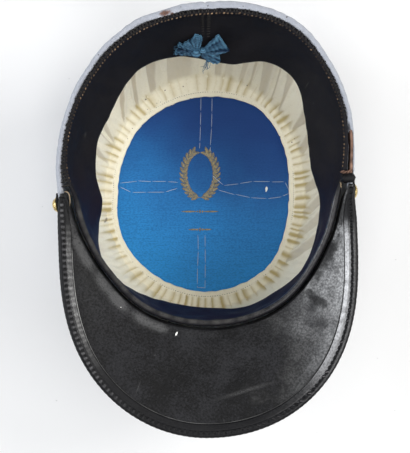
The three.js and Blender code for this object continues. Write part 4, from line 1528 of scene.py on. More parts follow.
@dataclass
class CrownLining:
    """The blue satin disc inside the crown, tacked with white thread and stamped with a gold wreath."""

    half_width: float = 63.5
    half_length: float = 70.8
    base: float = 2.75
    thickness: float = 0.75
    rows: int = 150
    drawn: tuple[float, float, float] = (0.5, 3.0, 4.0)  # x and y of the drawn lines, and their width
    stitch: float = 10.0
    stitch_gap: float = 0.9
    wreath_middle: Place = (-3.3, 13.0)
    wreath_half: Place = (10.8, 15.6)
    wreath_turn: Place = (-82.0, 62.0)  # degrees from a spray's foot to its tip
    leaves: int = 13
    leaf: Place = (5.2, 2.0)  # length and width
    leaf_reach: float = 2.3  # from the stem to a leaf's middle
    leaf_lean: float = 0.55  # radians off the stem
    stem: Place = (3.6, 0.5)
    rules: tuple[Place, ...] = ((-12.0, 13.0), (-24.0, 8.0))  # height and half length
    lozenges: tuple[float, ...] = (-1.6, 0.0, 1.6)  # across each rule's middle
    basting: tuple[tuple[Place, ...], ...] = (  # rows of tacking stitches, each through a few places
        ((-2.7, 64.0), (-2.9, 48.0), (-3.6, 30.0)),
        ((4.7, 64.0), (4.5, 46.0), (3.4, 28.0)),
        ((-4.7, -27.7), (-4.4, -44.0), (-5.6, -54.0), (-5.0, -63.0)),
        ((0.0, -27.7), (0.2, -45.0), (0.0, -63.0)),
        ((-5.0, -62.6), (0.2, -62.8)),
        ((-56.7, 7.0), (-45.3, 8.3), (-18.0, 7.7)),
        ((-56.7, 4.3), (-52.7, 1.0), (-26.7, 1.0), (-18.0, 3.7)),
        ((4.7, 12.3), (13.3, 5.0), (33.0, 8.2), (53.3, 7.7), (56.0, 2.3)),
        ((8.7, 2.3), (26.7, -2.3), (46.7, -3.7), (56.7, 0.3)),
    )

    def height(self, x: Number, y: Number) -> Array:
        """Height of the satin, which is drawn down a little along the tacking.

        Args:
            x: Places across.
            y: Places along.

        Returns:
            The heights.
        """
        soft = 0.09 * np.sin(x / 9.0 + 1.0) * np.cos(y / 11.0) + 0.06 * np.sin(x / 4.3 + y / 7.0)
        middle_x, middle_y, wide = self.drawn
        drawn = 0.16 * (bell(np.asarray(x) - middle_x, wide) + bell(np.asarray(y) - middle_y, wide))
        return self.base + self.thickness + soft - drawn

    def disc(self) -> Solid:
        """The satin as a thin closed plate.

        Returns:
            The plate.
        """
        side = np.linspace(-1.0, 1.0, self.rows)
        across, along = side[:, None], side[None, :]
        x = self.half_width * across * np.sqrt(1.0 - along * along / 2.0)
        y = self.half_length * along * np.sqrt(1.0 - across * across / 2.0)
        return Solid.plate(vec(x, y, self.height(x, y)), vec(x, y, self.base))

    def tacking(self) -> Solid:
        """The long white stitches.

        Returns:
            The stitches.
        """
        rng = np.random.default_rng(Seed.TACKING)
        starts, ends = [], []
        for row in self.basting:
            places = np.array(row)
            way = ways(places)
            at = 0.0
            while at < way[-1] - 1.0:
                reach = min(at + self.stitch * rng.uniform(0.8, 1.15), way[-1])
                for end, store in ((at, starts), (reach, ends)):
                    x, y = (np.interp(end, way, places[:, axis]) for axis in (0, 1))
                    store.append((x, y + rng.normal(0.0, 0.15), self.height(x, y) + 0.1))
                at = reach + self.stitch_gap * rng.uniform(0.6, 1.3)
        return Solid.stitches(np.array(starts), np.array(ends), UP, 0.17, 0.2)

    def blade(self, middle: Place, lie: float, size: Place) -> Solid:
        """A flat pointed leaf that lies on the satin.

        Args:
            middle: Its middle.
            lie: The way it points, in radians.
            size: Its length and width.

        Returns:
            The leaf.
        """
        long, wide = size
        along = np.linspace(-1.0, 1.0, 9)[:, None]
        side = np.array([-1.0, -0.4, 0.4, 1.0])[None]
        aside = wide / 2 * side * (1.0 - along * along) ** 0.8 + 0.06 * side
        x = middle[0] + long / 2 * along * math.cos(lie) - aside * math.sin(lie)
        y = middle[1] + long / 2 * along * math.sin(lie) + aside * math.cos(lie)
        bed = self.height(x, y)
        lift = 0.07 + 0.05 * (1.0 - np.abs(side))
        return Solid.plate(vec(x, y, bed + lift), vec(x, y, bed + 0.02))

    def stamp(self) -> Solid:
        """Two laurel sprays and two short ornamental rules.

        Returns:
            The leaves of the sprays and rules.
        """
        (mid_x, mid_y), (half_x, half_y) = self.wreath_middle, self.wreath_half
        sides = (-1.0, 1.0)
        parts = []
        for side in sides:
            for turn in np.radians(np.linspace(*self.wreath_turn, self.leaves)):
                x, y = mid_x + side * half_x * math.cos(turn), mid_y + half_y * math.sin(turn)
                way = math.atan2(half_y * math.cos(turn), -side * half_x * math.sin(turn))
                for lie in (way - self.leaf_lean, way + self.leaf_lean):
                    place = (x + self.leaf_reach * math.cos(lie), y + self.leaf_reach * math.sin(lie))
                    parts.append(self.blade(place, lie, self.leaf))
                parts.append(self.blade((x, y), way, self.stem))
        for level, half in self.rules:
            for side in sides:
                parts.append(self.blade((mid_x + side * half * 0.55, level), 0.0, (half * 0.85, 1.0)))
            for place in self.lozenges:
                size = (2.6 - 0.7 * abs(place), 1.1)
                parts.append(self.blade((mid_x + place, level), math.pi / 2, size))
        return Solid.join(parts)

    def dress(self) -> list[Piece]:
        """Makes the satin, the tacking and the stamp.

        Returns:
            The three pieces.
        """
        satin = make_piece("satin_disc", self.disc(), Satin().material(), ["crown_lining"])
        tacking = make_piece("tacking_stitches", self.tacking(), WHITE_THREAD.material())
        stamp = make_piece("gold_wreath", self.stamp(), GOLD_STAMP.material())
        return [satin, tacking, stamp]


@dataclass
class Peak:
    """The leather peak, its stitched binding and the raw leather that shows at its ends."""

    thickness: float = 2.0
    clear: float = 4.0  # the root starts this far out from the middle of the sweatband's top
    reach: float = 57.2
    holds: Place = (1.92, 2.22)  # left and right: how long the reach holds
    tapers: Place = (2.68, 2.97)  # and how fast it falls off then
    spread: tuple[Place, ...] = (  # degrees, and how far the soft edge has spread there
        (-83.0, -1.6), (-74.0, 0.1), (-45.0, -0.2), (0.0, 0.2), (45.0, 0.6), (72.0, 1.5), (87.0, 0.4),
    )
    rise: float = 30.0
    rise_taper: float = 1.2
    end_cut: float = 2.0
    flange: float = 5.5  # how far the root turns down behind the sweatband
    binding_width: float = 6.0
    binding_skin: float = 0.8
    nose: float = 0.7  # how far the fold stands off the edge
    binding_share: float = 0.6
    binding_cut: float = 3.2
    channel: float = 0.6  # from the edge to the row of stitches
    channel_half: float = 0.8
    stitch_step: float = 3.3
    frayed: tuple[tuple[float, tuple[Place, ...]], ...] = (  # height over the rim, and places
        (2.9, ((-83.4, -1.6), (-82.2, -1.3), (-81.0, -1.9), (-80.2, -3.3), (-79.9, -6.3), (-80.1, -9.8))),
        (2.6, ((79.6, 4.4), (80.4, 3.4), (80.2, 2.0), (80.8, 0.8))),
    )
    end_slope: float = 1.5  # about the millimetres in a degree at the peak's ends
    steps: int = 330

    def reaching(self, angle: Number) -> Array:
        """How far the peak reaches beyond the rim.

        Args:
            angle: Degrees from the front.

        Returns:
            The reach.
        """
        left = np.asarray(angle) < 0
        hold, taper = np.where(left, *self.holds), np.where(left, *self.tapers)
        spread = np.interp(angle, *zip(*self.spread))
        return self.reach * (1.0 - FORM.peak_share(angle) ** hold) ** taper + spread

    def face(self, angle: Number, t: Number) -> Array:
        """A point on the face towards the crown.

        Args:
            angle: Degrees from the front.
            t: 0 at the root and 1 at the edge.

        Returns:
            The point.
        """
        inset = lerp(FORM.crest(angle) - self.clear, -self.reaching(angle), t)
        lift = self.rise * np.maximum(np.cos(FORM.peak_share(angle) * math.pi / 2), 0.0) ** self.rise_taper
        return FORM.inset(angle, inset, GAP + lift * t)

    def span(self, angle: Number) -> Array:
        """Length of the face from root to edge."""
        return np.linalg.norm(self.face(angle, 1.0) - self.face(angle, 0.0), axis=-1)

    def axes(self, angle: Number, t: Number) -> tuple[Array, Array]:
        """The peak's own directions at a place.

        Args:
            angle: Degrees from the front.
            t: 0 at the root and 1 at the edge.

        Returns:
            Directions out of the underside and outwards along it.
        """
        along = self.face(angle + 0.5, t) - self.face(angle - 0.5, t)
        normal = unit(np.cross(self.face(angle, t + 0.02) - self.face(angle, t - 0.02), along))
        return normal, unit(np.cross(along, normal))

    def shell(self) -> Solid:
        """The leather, its underside up, with its root turned down behind the sweatband.

        Returns:
            The leather.
        """
        left, right = (end - self.end_cut for end in FORM.peak_ends)
        way = np.linspace(-1.0, 1.0, self.steps)[:, None]
        way = np.sign(way) * (1.0 - (1.0 - np.abs(way)) ** 1.15)
        angle = way * np.where(way < 0, left, right)
        t = np.concatenate([np.linspace(1.0, 0.1, 62)[:-1], np.linspace(0.1, 0.0, 12)])[None]
        normal, _ = self.axes(angle, t)
        thick = unit(lerp(np.broadcast_to(UP, normal.shape), normal, t[..., None]))
        from_root, from_edge = t * self.span(angle), (1.0 - t) * self.span(angle)
        from_end = np.minimum(angle + left, right - angle) * self.end_slope
        rounding = tuck(from_edge, 0.9) + tuck(from_end, 1.2)
        waves = 0.4 * crumple(angle, t, Seed.PEAK_WAVES, 4, 12)
        waves = waves * smooth(from_edge, 6.0, 14.0) * smooth(from_root, 2.0, 10.0)
        shown = self.face(angle, t) + thick * (self.thickness - rounding + waves)[..., None]
        over = self.face(angle, t) + thick * (0.4 * rounding)[..., None]
        sink = self.flange * smooth(FORM.crest(angle), 6.4, 7.4) * FORM.behind_peak(angle)
        fall = shares(9)[None, 1:]
        turned = FORM.crest(angle) - self.clear + 1.1 * np.sin(fall * math.pi / 2) * smooth(sink, 0.5, 4.0)
        flange = FORM.inset(angle, turned, GAP + self.thickness - fall * (sink + 0.6))
        inner = FORM.inset(angle, turned - 1.2 * (1.0 - 0.6 * fall), GAP - fall * sink)
        sections = beside(shown, flange, inner[:, ::-1], over[:, ::-1])
        places = sections.shape[1]
        along_left = smooth(-angle, -14.0, 22.0) * (1.0 - 0.6 * smooth(-angle, 60.0, 76.0))
        dust_and_sheen = bell(from_root - 3.4, 3.0) * (0.55 + 0.3 * wobble(angle, Seed.PEAK_DUST, 6, 40)) * along_left
        # painted sheen over the left flank, carried by the dust mark
        dust_and_sheen = dust_and_sheen + 0.24 * smooth(-angle, 5.0, 50.0) * smooth(from_edge, 3.0, 12.0)
        marks = padded({"dust_and_sheen": clip01(dust_and_sheen)}, 0, places - dust_and_sheen.shape[1])
        marks["polish"] = np.arange(places)[None] >= shown.shape[1] + flange.shape[1]
        return Solid.skin(sections, Closing.CAPPED, **marks)

    def binding_place(self, angle: Number, outwards: Number, height: Number) -> Array:
        """A point beside the peak's edge.

        Args:
            angle: Degrees from the front.
            outwards: How far outwards it is from the edge.
            height: How far it is off the face towards the crown.

        Returns:
            The point.
        """
        normal, out = self.axes(angle, 1.0)
        aside, above = (np.asarray(way)[..., None] for way in (outwards, height))
        return self.face(angle, 1.0) + out * aside + normal * above

    def binding_angles(self, count: int) -> Array:
        """Angles along the binding, evenly spread along the peak's edge.

        Args:
            count: How many there are.

        Returns:
            The angles.
        """
        left, right = FORM.peak_ends
        fine = np.linspace(self.binding_cut - left, right - self.binding_cut, 4000)
        way = ways(self.face(fine, 1.0))
        return np.interp(np.linspace(0.0, way[-1], count), way, fine)

    def stitch_places(self) -> Array:
        """Angles of the binding's stitches."""
        length = ways(self.face(self.binding_angles(2000), 1.0))[-1]
        return self.binding_angles(round(length / self.stitch_step))[1:-1]

    def shown_width(self, angle: Number) -> Array:
        """Width of the binding on the underside."""
        return np.minimum(self.binding_width, self.binding_share * self.span(angle))

    def drawn(self, row: Array) -> Array:
        """How far the binding is drawn in: 1 at a stitch and 0 half way between two."""
        return 0.5 + 0.5 * np.cos(TAU * row)

    def binding_marks(self, angle: Array, inset: Array, bend: Array, row: Array) -> dict[str, Array]:
        """Polish, and dust with painted sheen and highlights, on the binding's underside and on its fold.

        Args:
            angle: Angles along the binding, as a column.
            inset: Ways in from the edge over the underside.
            bend: Angles round the fold, as a row.
            row: Numbers of the stitches, as a column.

        Returns:
            The marks under their names.
        """
        drawn = self.drawn(row)
        right = between(angle, 12.0, 40.0, 64.0, 74.0)
        left = between(-angle, 25.0, 50.0, 60.0, 72.0)
        strip = smooth(inset - 0.7 * drawn, 0.9, 1.5) * smooth(self.shown_width(angle) - inset, 0.2, 0.5)
        strip = strip * (1.1 * right + (0.5 - 0.25 * drawn) * left)
        strip = strip * np.clip(0.9 + 0.15 * wobble(angle, Seed.BINDING_POLISH, 30, 160), 0.0, 1.2)
        fold = 0.8 * bell(bend - 1.15, 0.3) * right
        # lighter beads between the stitches: painted highlights on the puckered leather, with some dust
        bead_dust_and_highlight = (1.0 - 0.8 * drawn) * (0.1 + 0.65 * smooth(-angle, 8.0, 40.0))
        bead_dust_and_highlight = bead_dust_and_highlight * np.clip(0.9 + 0.25 * wobble(row, Seed.BINDING_BEADS, 3, 9), 0.2, 1.3)
        # on the strip the dust mark paints the sheen lighter
        dust_and_sheen = bead_dust_and_highlight * bell(inset - self.channel, 1.1) + strip * (right + 0.7 * left)
        fold_dust_and_sheen = 0.9 * bead_dust_and_highlight * smooth(bend, 0.75, 1.35)
        return {"polish": beside(strip, fold), "dust_and_sheen": beside(dust_and_sheen, fold_dust_and_sheen)}

    def binding(self) -> Solid:
        """The strip folded over the edge, drawn in by its stitches.

        Returns:
            The strip.
        """
        angle = self.binding_angles(900)[:, None]
        width = self.shown_width(angle)
        crown_width = np.minimum(width, self.binding_share * self.reaching(angle))
        skin, low, high = self.binding_skin, -GAP, self.thickness + GAP
        middle, half = (low + high) / 2, (high - low) / 2
        share = np.linspace(1.0, 0.0, 26)[None]
        bend = np.linspace(math.pi / 2, -math.pi / 2, 13)[None, 1:-1]
        back = shares(8)[None]
        inset = width * share
        stitches = self.stitch_places()
        row = np.interp(angle, stitches, np.arange(len(stitches)))
        drawn = self.drawn(row)
        channel = bell(inset - self.channel, 0.9)
        dip = 0.45 * drawn * channel + 0.3 * bell(inset - self.channel - 1.5, 0.35)
        puff = 0.10 * wobble(angle, Seed.BINDING_PUFF, 40, 110) * bell(inset - 0.6, 0.8)
        lift = 0.3 * (1.0 - drawn) * channel + puff - dip
        end = np.minimum(angle - angle[0], angle[-1] - angle) * self.end_slope
        upper = high + skin + lift - tuck(width - inset, 0.6) - 0.8 * tuck(end, 1.5)
        reach = (GAP + skin + self.nose) * (0.5 + 0.5 * smooth(end, 0.0, 20.0)) - 0.12 * drawn
        loop = (
            (-inset, upper),
            (reach * np.cos(bend), middle + (half + skin) * np.sin(bend)),
            (-crown_width * back, low - skin + tuck(crown_width * (1.0 - back), 0.6)),
            (-crown_width * back[:, ::-1], low),
            (GAP * np.cos(bend[:, ::-1]), middle + half * np.sin(bend[:, ::-1])),
            (-inset[:, ::-1], high),
        )
        out, up, _ = (beside(*rows) for rows in zip(*(np.broadcast_arrays(*rows, angle) for rows in loop)))
        marks = self.binding_marks(angle, inset, bend, row)
        marks = padded(marks, 0, out.shape[1] - marks["dust_and_sheen"].shape[1])
        return Solid.skin(self.binding_place(angle, out, up), Closing.CAPPED, **marks)

    def binding_stitches(self) -> Solid:
        """Slanted stitches in the channel along the edge.

        Returns:
            The stitches.
        """
        rng = np.random.default_rng(Seed.BINDING_STITCHES)
        angle = self.stitch_places()
        count = len(angle)
        edge = self.face(angle + 0.2, 1.0) - self.face(angle - 0.2, 1.0)
        along = unit(edge) * (0.28 * self.stitch_step + rng.normal(0.0, 0.1, count))[:, None]
        sides = (-self.channel_half, self.channel_half)
        near, far = (self.channel + side + rng.normal(0.0, 0.12, count) for side in sides)
        top = self.thickness + GAP + self.binding_skin - 0.4
        starts = self.binding_place(angle, -far, top) - along
        ends = self.binding_place(angle, -near, top) + along
        # painted glints: about a third of the stitches near 32 degrees are made light for highlights on the
        # waxed thread
        shade = (rng.uniform(size=count) < 0.35) * bell(angle - 32.0, 14.0)
        return Solid.stitches(starts, ends, self.axes(angle, 1.0)[0], 0.36, 0.3, shade=shade)

    def groove_thread(self) -> Solid:
        """The line along the binding's inner edge: worn and palest at the left, and painted groove shade at
        the right.

        Returns:
            The line.
        """
        angle = self.binding_angles(500)
        path = self.binding_place(angle, -self.shown_width(angle) - 0.5, self.thickness - 0.04)
        broken = smooth(wobble(angle, Seed.GROOVE_BREAKS, 10, 60), -1.0, 0.4)
        left = between(-angle, 22.0, 46.0, 60.0, 63.0)
        front = bell(angle + 4.0, 34.0) * (0.55 + 0.45 * broken)
        # at the right the thread is thicker and dark: painted shade of a groove beside the binding's step
        right = smooth(angle, 20.0, 36.0)
        radius = 0.06 + 0.22 * np.maximum(left, 0.7 * front) + 0.22 * right
        shade = clip01(0.95 * left + 0.3 * front)
        return Solid.threads(path[None], radius[None], UP, shade=shade[None])

    def raw_edges(self) -> Solid:
        """Raw leather that shows at the peak's two ends.

        Returns:
            Its strands.
        """
        share = shares(31)
        parts = []
        for lift, places in self.frayed:
            knots = shares(len(places))
            line = np.stack([np.interp(share, knots, axis) for axis in zip(*places)])
            relax(line, 6)
            x, y = line
            parts.append(Solid.threads(vec(x, y, FORM.plane(y) + lift)[None], 0.36, UP, 8))
        return Solid.join(parts)

    def dress(self) -> list[Piece]:
        """Makes the peak, its binding and its stitches.

        Returns:
            The peak and what is sewn to it.
        """
        leather, edge = PEAK_LEATHER.material(), BINDING_LEATHER.material()
        return [
            make_piece("leather_peak", self.shell(), leather, ["peak"]),
            make_piece("edge_binding", self.binding(), edge, ["peak_binding"]),
            make_piece("binding_stitches", self.binding_stitches(), WAXED_THREAD.material()),
            make_piece("binding_line", self.groove_thread(), GROOVE_LINE.material()),
            make_piece("raw_edges", self.raw_edges(), RAW_EDGE.material()),
        ]


@dataclass
class ChinStrap:
    """The leather strap round the front of the band, and the gilt buttons that hold it."""

    down: float = 4.0
    width: float = 9.0
    thickness: float = 1.3
    proud: float = 1.45
    tip: float = 4.5  # degrees past each button
    buttons: Place = (-77.5, 82.5)
    button_radius: float = 4.6
    shank_radius: float = 1.4
    domes: Place = (3.2, 2.3)  # how far the left and right buttons rise
    end_turn: Place = (86.6, 87.5)  # degrees and insets from the curled end's inner end to its outer one
    end_inset: Place = (7.4, -1.6)
    end_radius: float = 3.0
    flap_angle: float = 89.4
    flap_thickness: float = 0.5

    def strap(self) -> Solid:
        """The strap, with rounded edges and a crease along each.

        Returns:
            The strap.
        """
        start, end = self.buttons[0] - self.tip, self.buttons[1] + self.tip
        angle = np.linspace(start, end, 320)[:, None]
        turn = np.linspace(0.0, TAU, 40, endpoint=False)[None]
        side, over = np.cos(turn), np.sin(turn)
        half = self.width / 2
        from_end = np.minimum(angle - start, end - angle) * 1.5
        across = np.sign(side) * np.abs(side) ** 0.25 * (half - tuck(from_end, 4.2))
        height = np.sign(over) * np.abs(over) ** 0.35 * self.thickness / 2
        crease = 0.22 * bell(np.abs(across) - half + 1.3, 0.35) * (over > 0)
        proud = self.proud + self.thickness / 2 + height - crease
        places = FORM.wall(angle, FORM.down(angle, self.down + half + across), proud)
        return Solid.skin(places, Closing.CAPPED)

    def button(self, angle: float, rises: float) -> Solid:
        """A domed button with a rim, on a shank through the strap.

        Args:
            angle: Where it sits, in degrees from the front.
            rises: How far its dome rises.

        Returns:
            The button.
        """
        rise = FORM.down(angle, self.down + self.width / 2)
        foot, out = FORM.wall(angle, rise, self.proud), FORM.normal(angle, rise)
        side = unit(np.cross(out, UP))
        other = np.cross(side, out)
        back, radius, shank = self.thickness + GAP, self.button_radius, self.shank_radius
        dome = np.linspace(0.0, math.pi / 2 - 0.05, 14)
        rim = np.linspace(-math.pi / 2, math.pi / 2, 7)
        reach = np.concatenate([
            [shank, shank, radius - 0.8],
            radius - 0.5 + 0.5 * np.cos(rim),
            (radius - 0.7) * np.cos(dome),
        ])
        height = np.concatenate([
            [0.1, back, back],
            back + 0.4 + 0.4 * np.sin(rim),
            back + 0.7 + (rises - 0.7) * np.sin(dome),
        ])
        turn = np.linspace(0.0, TAU, 64, endpoint=False)[:, None]
        circle = np.cos(turn) * side + np.sin(turn) * other
        rings = foot + reach[:, None, None] * circle[None] + height[:, None, None] * out
        return Solid.skin(rings, Closing.CAPPED)

    def curled_end(self) -> Solid:
        """The strap's right end, rolled over the rim beside the peak.

        Returns:
            The roll.
        """
        share = shares(40)
        angle, inset = lerp(*self.end_turn, share), lerp(*self.end_inset, share)
        path = FORM.inset(angle, inset, 1.9 + 0.9 * np.sin(math.pi * share))
        radius = self.end_radius * np.sqrt(np.maximum(1.0 - np.abs(2.0 * share - 1.0) ** 3.0, 0.02))
        radius = radius * (1.0 + 0.05 * np.sin(9.0 * share))
        return Solid.threads(path[None], radius[None], UP, 28)

    def tan_flap(self) -> Solid:
        """A torn flap of the stiffener that lies over the lip beside the strap's end.

        Returns:
            The flap.
        """
        s = shares(20)[:, None]
        v = np.linspace(-1.0, 1.0, 7)[None]
        angle = self.flap_angle + 0.95 * v * (1.0 - 0.5 * s) + 0.2 * np.sin(9.0 * s)
        inset = 0.6 + 7.0 * s + 0.25 * np.sin(5.0 * v)
        lift = 1.0 + 0.9 * np.sin(math.pi * s) - 0.5 * s + 0.12 * np.sin(12.0 * s + 3.0 * v)
        front, back = (FORM.inset(angle, inset, lift - under) for under in (0.0, self.flap_thickness))
        return Solid.plate(front, back, shade=clip01(0.42 + 0.3 * np.sin(23.0 * s + 4.0 * v) - 0.2 * s))

    def dress(self) -> list[Piece]:
        """Makes the strap, its buttons and its loose ends.

        Returns:
            The five pieces.
        """
        leather, gilt = BINDING_LEATHER.material(), GILT.material()
        left, right = (self.button(*at) for at in zip(self.buttons, self.domes))
        return [
            make_piece("leather_strap", self.strap(), leather, ["chin_strap"]),
            make_piece("gilt_button_left", left, gilt, ["button_left"]),
            make_piece("gilt_button_right", right, gilt, ["button_right"]),
            make_piece("strap_end", self.curled_end(), leather),
            make_piece("torn_flap", self.tan_flap(), BUCKRAM.material()),
        ]


@dataclass(frozen=True)
class Leaf:
    """A leaf of the bow, in millimetres across and up from the knot.

    root is its edge at the knot and far the corners of its free edge, in the same turn. lift is how far its
    free edge stands off, ribs how many ribs cross it and shade how much painted light it gets.
    """

    root: tuple[Place, Place]
    far: tuple[Place, ...]
    lift: float
    ribs: float
    shade: float


@dataclass
class Bow:
    """The blue ribbon bow at the back of the sweatband."""

    sweatband: Sweatband
    angle: float = 184.0
    depth_share: float = 0.86
    knot_thickness: float = 2.4
    thickness: float = 0.16
    layers: Place = (0.0, 1.3)  # how far each layer of a leaf is sunk towards the leather
    knots: tuple[tuple[Place, Place], ...] = (  # middle and half size
        ((0.1, 0.0), (2.7, 2.6)), ((4.0, 3.2), (1.9, 1.4)),
    )
    leaves: tuple[Leaf, ...] = (
        Leaf(
            ((1.9, 2.0), (-2.2, 1.6)), ((3.2, 13.0), (1.2, 15.4), (-1.8, 15.6), (-5.0, 10.0), (-8.2, 6.4)),
            0.8, 7.0, 0.55,
        ),
        Leaf(((-1.2, 1.4), (-1.5, -2.6)), ((-12.4, 2.0), (-12.9, 0.2), (-12.4, -2.4)), 0.6, 4.0, 0.35),
        Leaf(((-1.6, 2.2), (-1.8, 0.6)), ((-10.6, 7.4), (-11.6, 5.6), (-11.0, 4.4)), 0.3, 3.0, 0.3),
        Leaf(
            ((4.0, 4.2), (5.2, 0.2)), ((9.0, 11.0), (12.6, 17.2), (15.4, 12.2), (19.8, 5.4), (12.0, 0.0)),
            0.9, 5.0, 0.5,
        ),
        Leaf(
            ((3.6, 1.4), (3.2, -2.2)), ((14.4, -0.8), (15.0, -4.0), (13.0, -6.6), (7.4, -6.0)),
            0.7, 3.0, 0.36,
        ),
    )
    hanging: int = 11  # loose threads that hang from the knot
    crossing: int = 7  # and that cross the end of a tail

    def place(self, local: Array) -> Array:
        """Moves points from the bow's own axes to the kepi's.

        Args:
            local: Points across, up and off the leather.

        Returns:
            The points on the kepi.
        """
        t = np.asarray(self.depth_share)
        inwards = -self.sweatband.outwards(self.angle, t)
        sideways = unit(np.cross(UP, inwards))
        upwards = np.cross(inwards, sideways)
        off = self.sweatband.half + GAP + self.knot_thickness
        seat = self.sweatband.middle(self.angle, t) + inwards * off
        return seat + local @ np.stack([sideways, upwards, inwards])

    def leaf(self, leaf: Leaf, seed: int, sunk: float) -> Solid:
        """A crumpled layer of ribbon from the knot to its free edge.

        Args:
            leaf: The leaf's outline and finish.
            seed: Which creases it has.
            sunk: How far it is sunk towards the leather.

        Returns:
            The layer.
        """
        rng = np.random.default_rng(seed)
        s = shares(56)[:, None]
        v = shares(45)[None]
        knots = shares(len(leaf.far))
        phase = rng.uniform(0.0, TAU, 6)
        across, up = (
            lerp(lerp(*root, v), np.interp(v, knots, far), s)
            for root, far in zip(zip(*leaf.root), zip(*leaf.far))
        )
        pleat = np.sin(3.1 * TAU * v + phase[0] + 1.5 * s) + 0.5 * np.sin(5.7 * TAU * v + phase[1] - s)
        rib = np.sin(leaf.ribs * TAU * s + 1.3 * np.sin(TAU * v + phase[2]) + phase[3])
        crush = np.sin(2.0 * TAU * s + phase[4]) * np.sin(1.5 * TAU * v + phase[5])
        off = leaf.lift * s - sunk * smooth(s, 0.0, 0.5) + 0.30 * pleat * s ** 0.6
        off = off + 0.22 * rib * smooth(s, 0.1, 0.4) + 0.45 * crush * s
        across = across + 0.25 * rib * s + 0.2 * crush
        up = up + (0.3 * np.sin(17.0 * v + phase[1]) + 0.3 * np.sin(41.0 * v + phase[0])) * s ** 8
        middle = vec(across, up, off)
        thick = self.thickness * unit(np.cross(np.gradient(middle, axis=0), np.gradient(middle, axis=1)))
        selvedge = bell(1.0 - s, 0.05) * (0.5 + 0.5 * np.sin(9.0 * v + phase[2]))
        selvedge = selvedge + bell(np.minimum(v, 1.0 - v), 0.03) * 0.5
        streaks = rng.uniform(-1.0, 1.0, 17)
        streak = np.interp(v + 0.03 * np.sin(5.0 * s + phase[1]), shares(17), streaks)
        # painted highlight on the crests of the pleats and ribs and painted shade in their troughs, with
        # streaks and lighter selvedges
        light = 0.22 * pleat * s + 0.5 * streak * smooth(s, 0.0, 0.4) + 0.12 * rib
        light = light + 0.8 * selvedge * smooth(s, 0.3, 0.8)
        # each leaf's painted light and shade as a whole
        shade = np.clip(0.85 * leaf.shade + light, 0.0, 1.4)
        return Solid.plate(self.place(middle + thick), self.place(middle - thick), shade=shade)

    def tie(self, middle: Place, half: Place) -> Solid:
        """A knot, wrapped round with creases.

        Args:
            middle: Its middle, across and up.
            half: Half its size, across and up.

        Returns:
            The knot.
        """
        turn = np.linspace(0.0, TAU, 48, endpoint=False)[None]
        rise = np.linspace(-math.pi / 2 + 0.12, math.pi / 2 - 0.12, 25)[:, None]
        wrap = np.sin(7.0 * rise + 1.6 * np.sin(turn))
        crease = 1.0 + 0.07 * wrap + 0.06 * np.sin(3.0 * turn)
        x = middle[0] + half[0] * np.cos(rise) * np.cos(turn) * crease
        y = middle[1] + half[1] * np.sin(rise)
        z = self.knot_thickness * np.cos(rise) * np.sin(turn) * crease
        # painted highlight on the bulges of the wraps and painted shade in their creases
        shade = np.clip(0.7 + 0.35 * wrap, 0.0, 1.3)
        return Solid.skin(self.place(vec(x, y, z)), Closing.CAPPED, shade=shade)

    def fray(self) -> Solid:
        """Loose threads at the knot and at the ends of the tails.

        Returns:
            The threads.
        """
        rng = np.random.default_rng(Seed.FRAY)
        share = shares(14)
        arch = np.sin(math.pi * share)
        paths = []
        for _ in range(self.hanging):
            start, end = rng.uniform(5.0, 9.0), rng.uniform(3.0, 8.5)
            drop, bow = rng.uniform(6.0, 13.0), rng.uniform(-1.6, 1.6)
            paths.append(vec(lerp(start, end, share) + bow * arch, -4.0 - drop * share, 0.6 + 1.5 * arch))
        for _ in range(self.crossing):
            start, end = rng.uniform(-2.0, 6.5), rng.uniform(-2.5, 7.5)
            paths.append(vec(-10.5 - 3.2 * share, lerp(start, end, share), 0.5 + 0.6 * share))
        shade = rng.uniform(0.2, 0.9, len(paths))
        return Solid.threads(self.place(np.array(paths)), 0.12, UP, 4, shade=shade)

    def dress(self) -> list[Piece]:
        """Makes the bow, each leaf of two layers.

        Returns:
            The bow.
        """
        parts = [
            self.leaf(leaf, seed, sunk)
            for seed, leaf in enumerate(self.leaves, Seed.BOW_LEAVES)
            for sunk in self.layers
        ]
        knots = [self.tie(middle, half) for middle, half in self.knots]
        bow = Solid.join([*parts, *knots, self.fray()])
        return [make_piece("blue_bow", bow, RIBBON.material(), ["ribbon_bow"], closed=False)]


@dataclass(frozen=True)
class Lamp:
    """A square soft light that looks at the kepi. place, aim and size are in metres, power in watts."""

    name: str
    place: tuple[float, float, float]
    size: float
    power: float
    tint: Colour = (1.0, 1.0, 1.0)
    aim: tuple[float, float, float] = (0.0, 0.0, 0.05)

    def hang(self) -> None:
        """Adds the light to the scene."""
        light = bpy.data.lights.new(self.name, "AREA")
        light.size, light.energy, light.color = self.size, self.power, self.tint
        lamp = bpy.data.objects.new(self.name, light)
        lamp.location = self.place
        x, y, z = np.array(self.aim) - np.array(self.place)
        lamp.rotation_euler = (math.atan2(math.hypot(x, y), -z), 0.0, math.atan2(y, x) - math.pi / 2)
        bpy.context.scene.collection.objects.link(lamp)


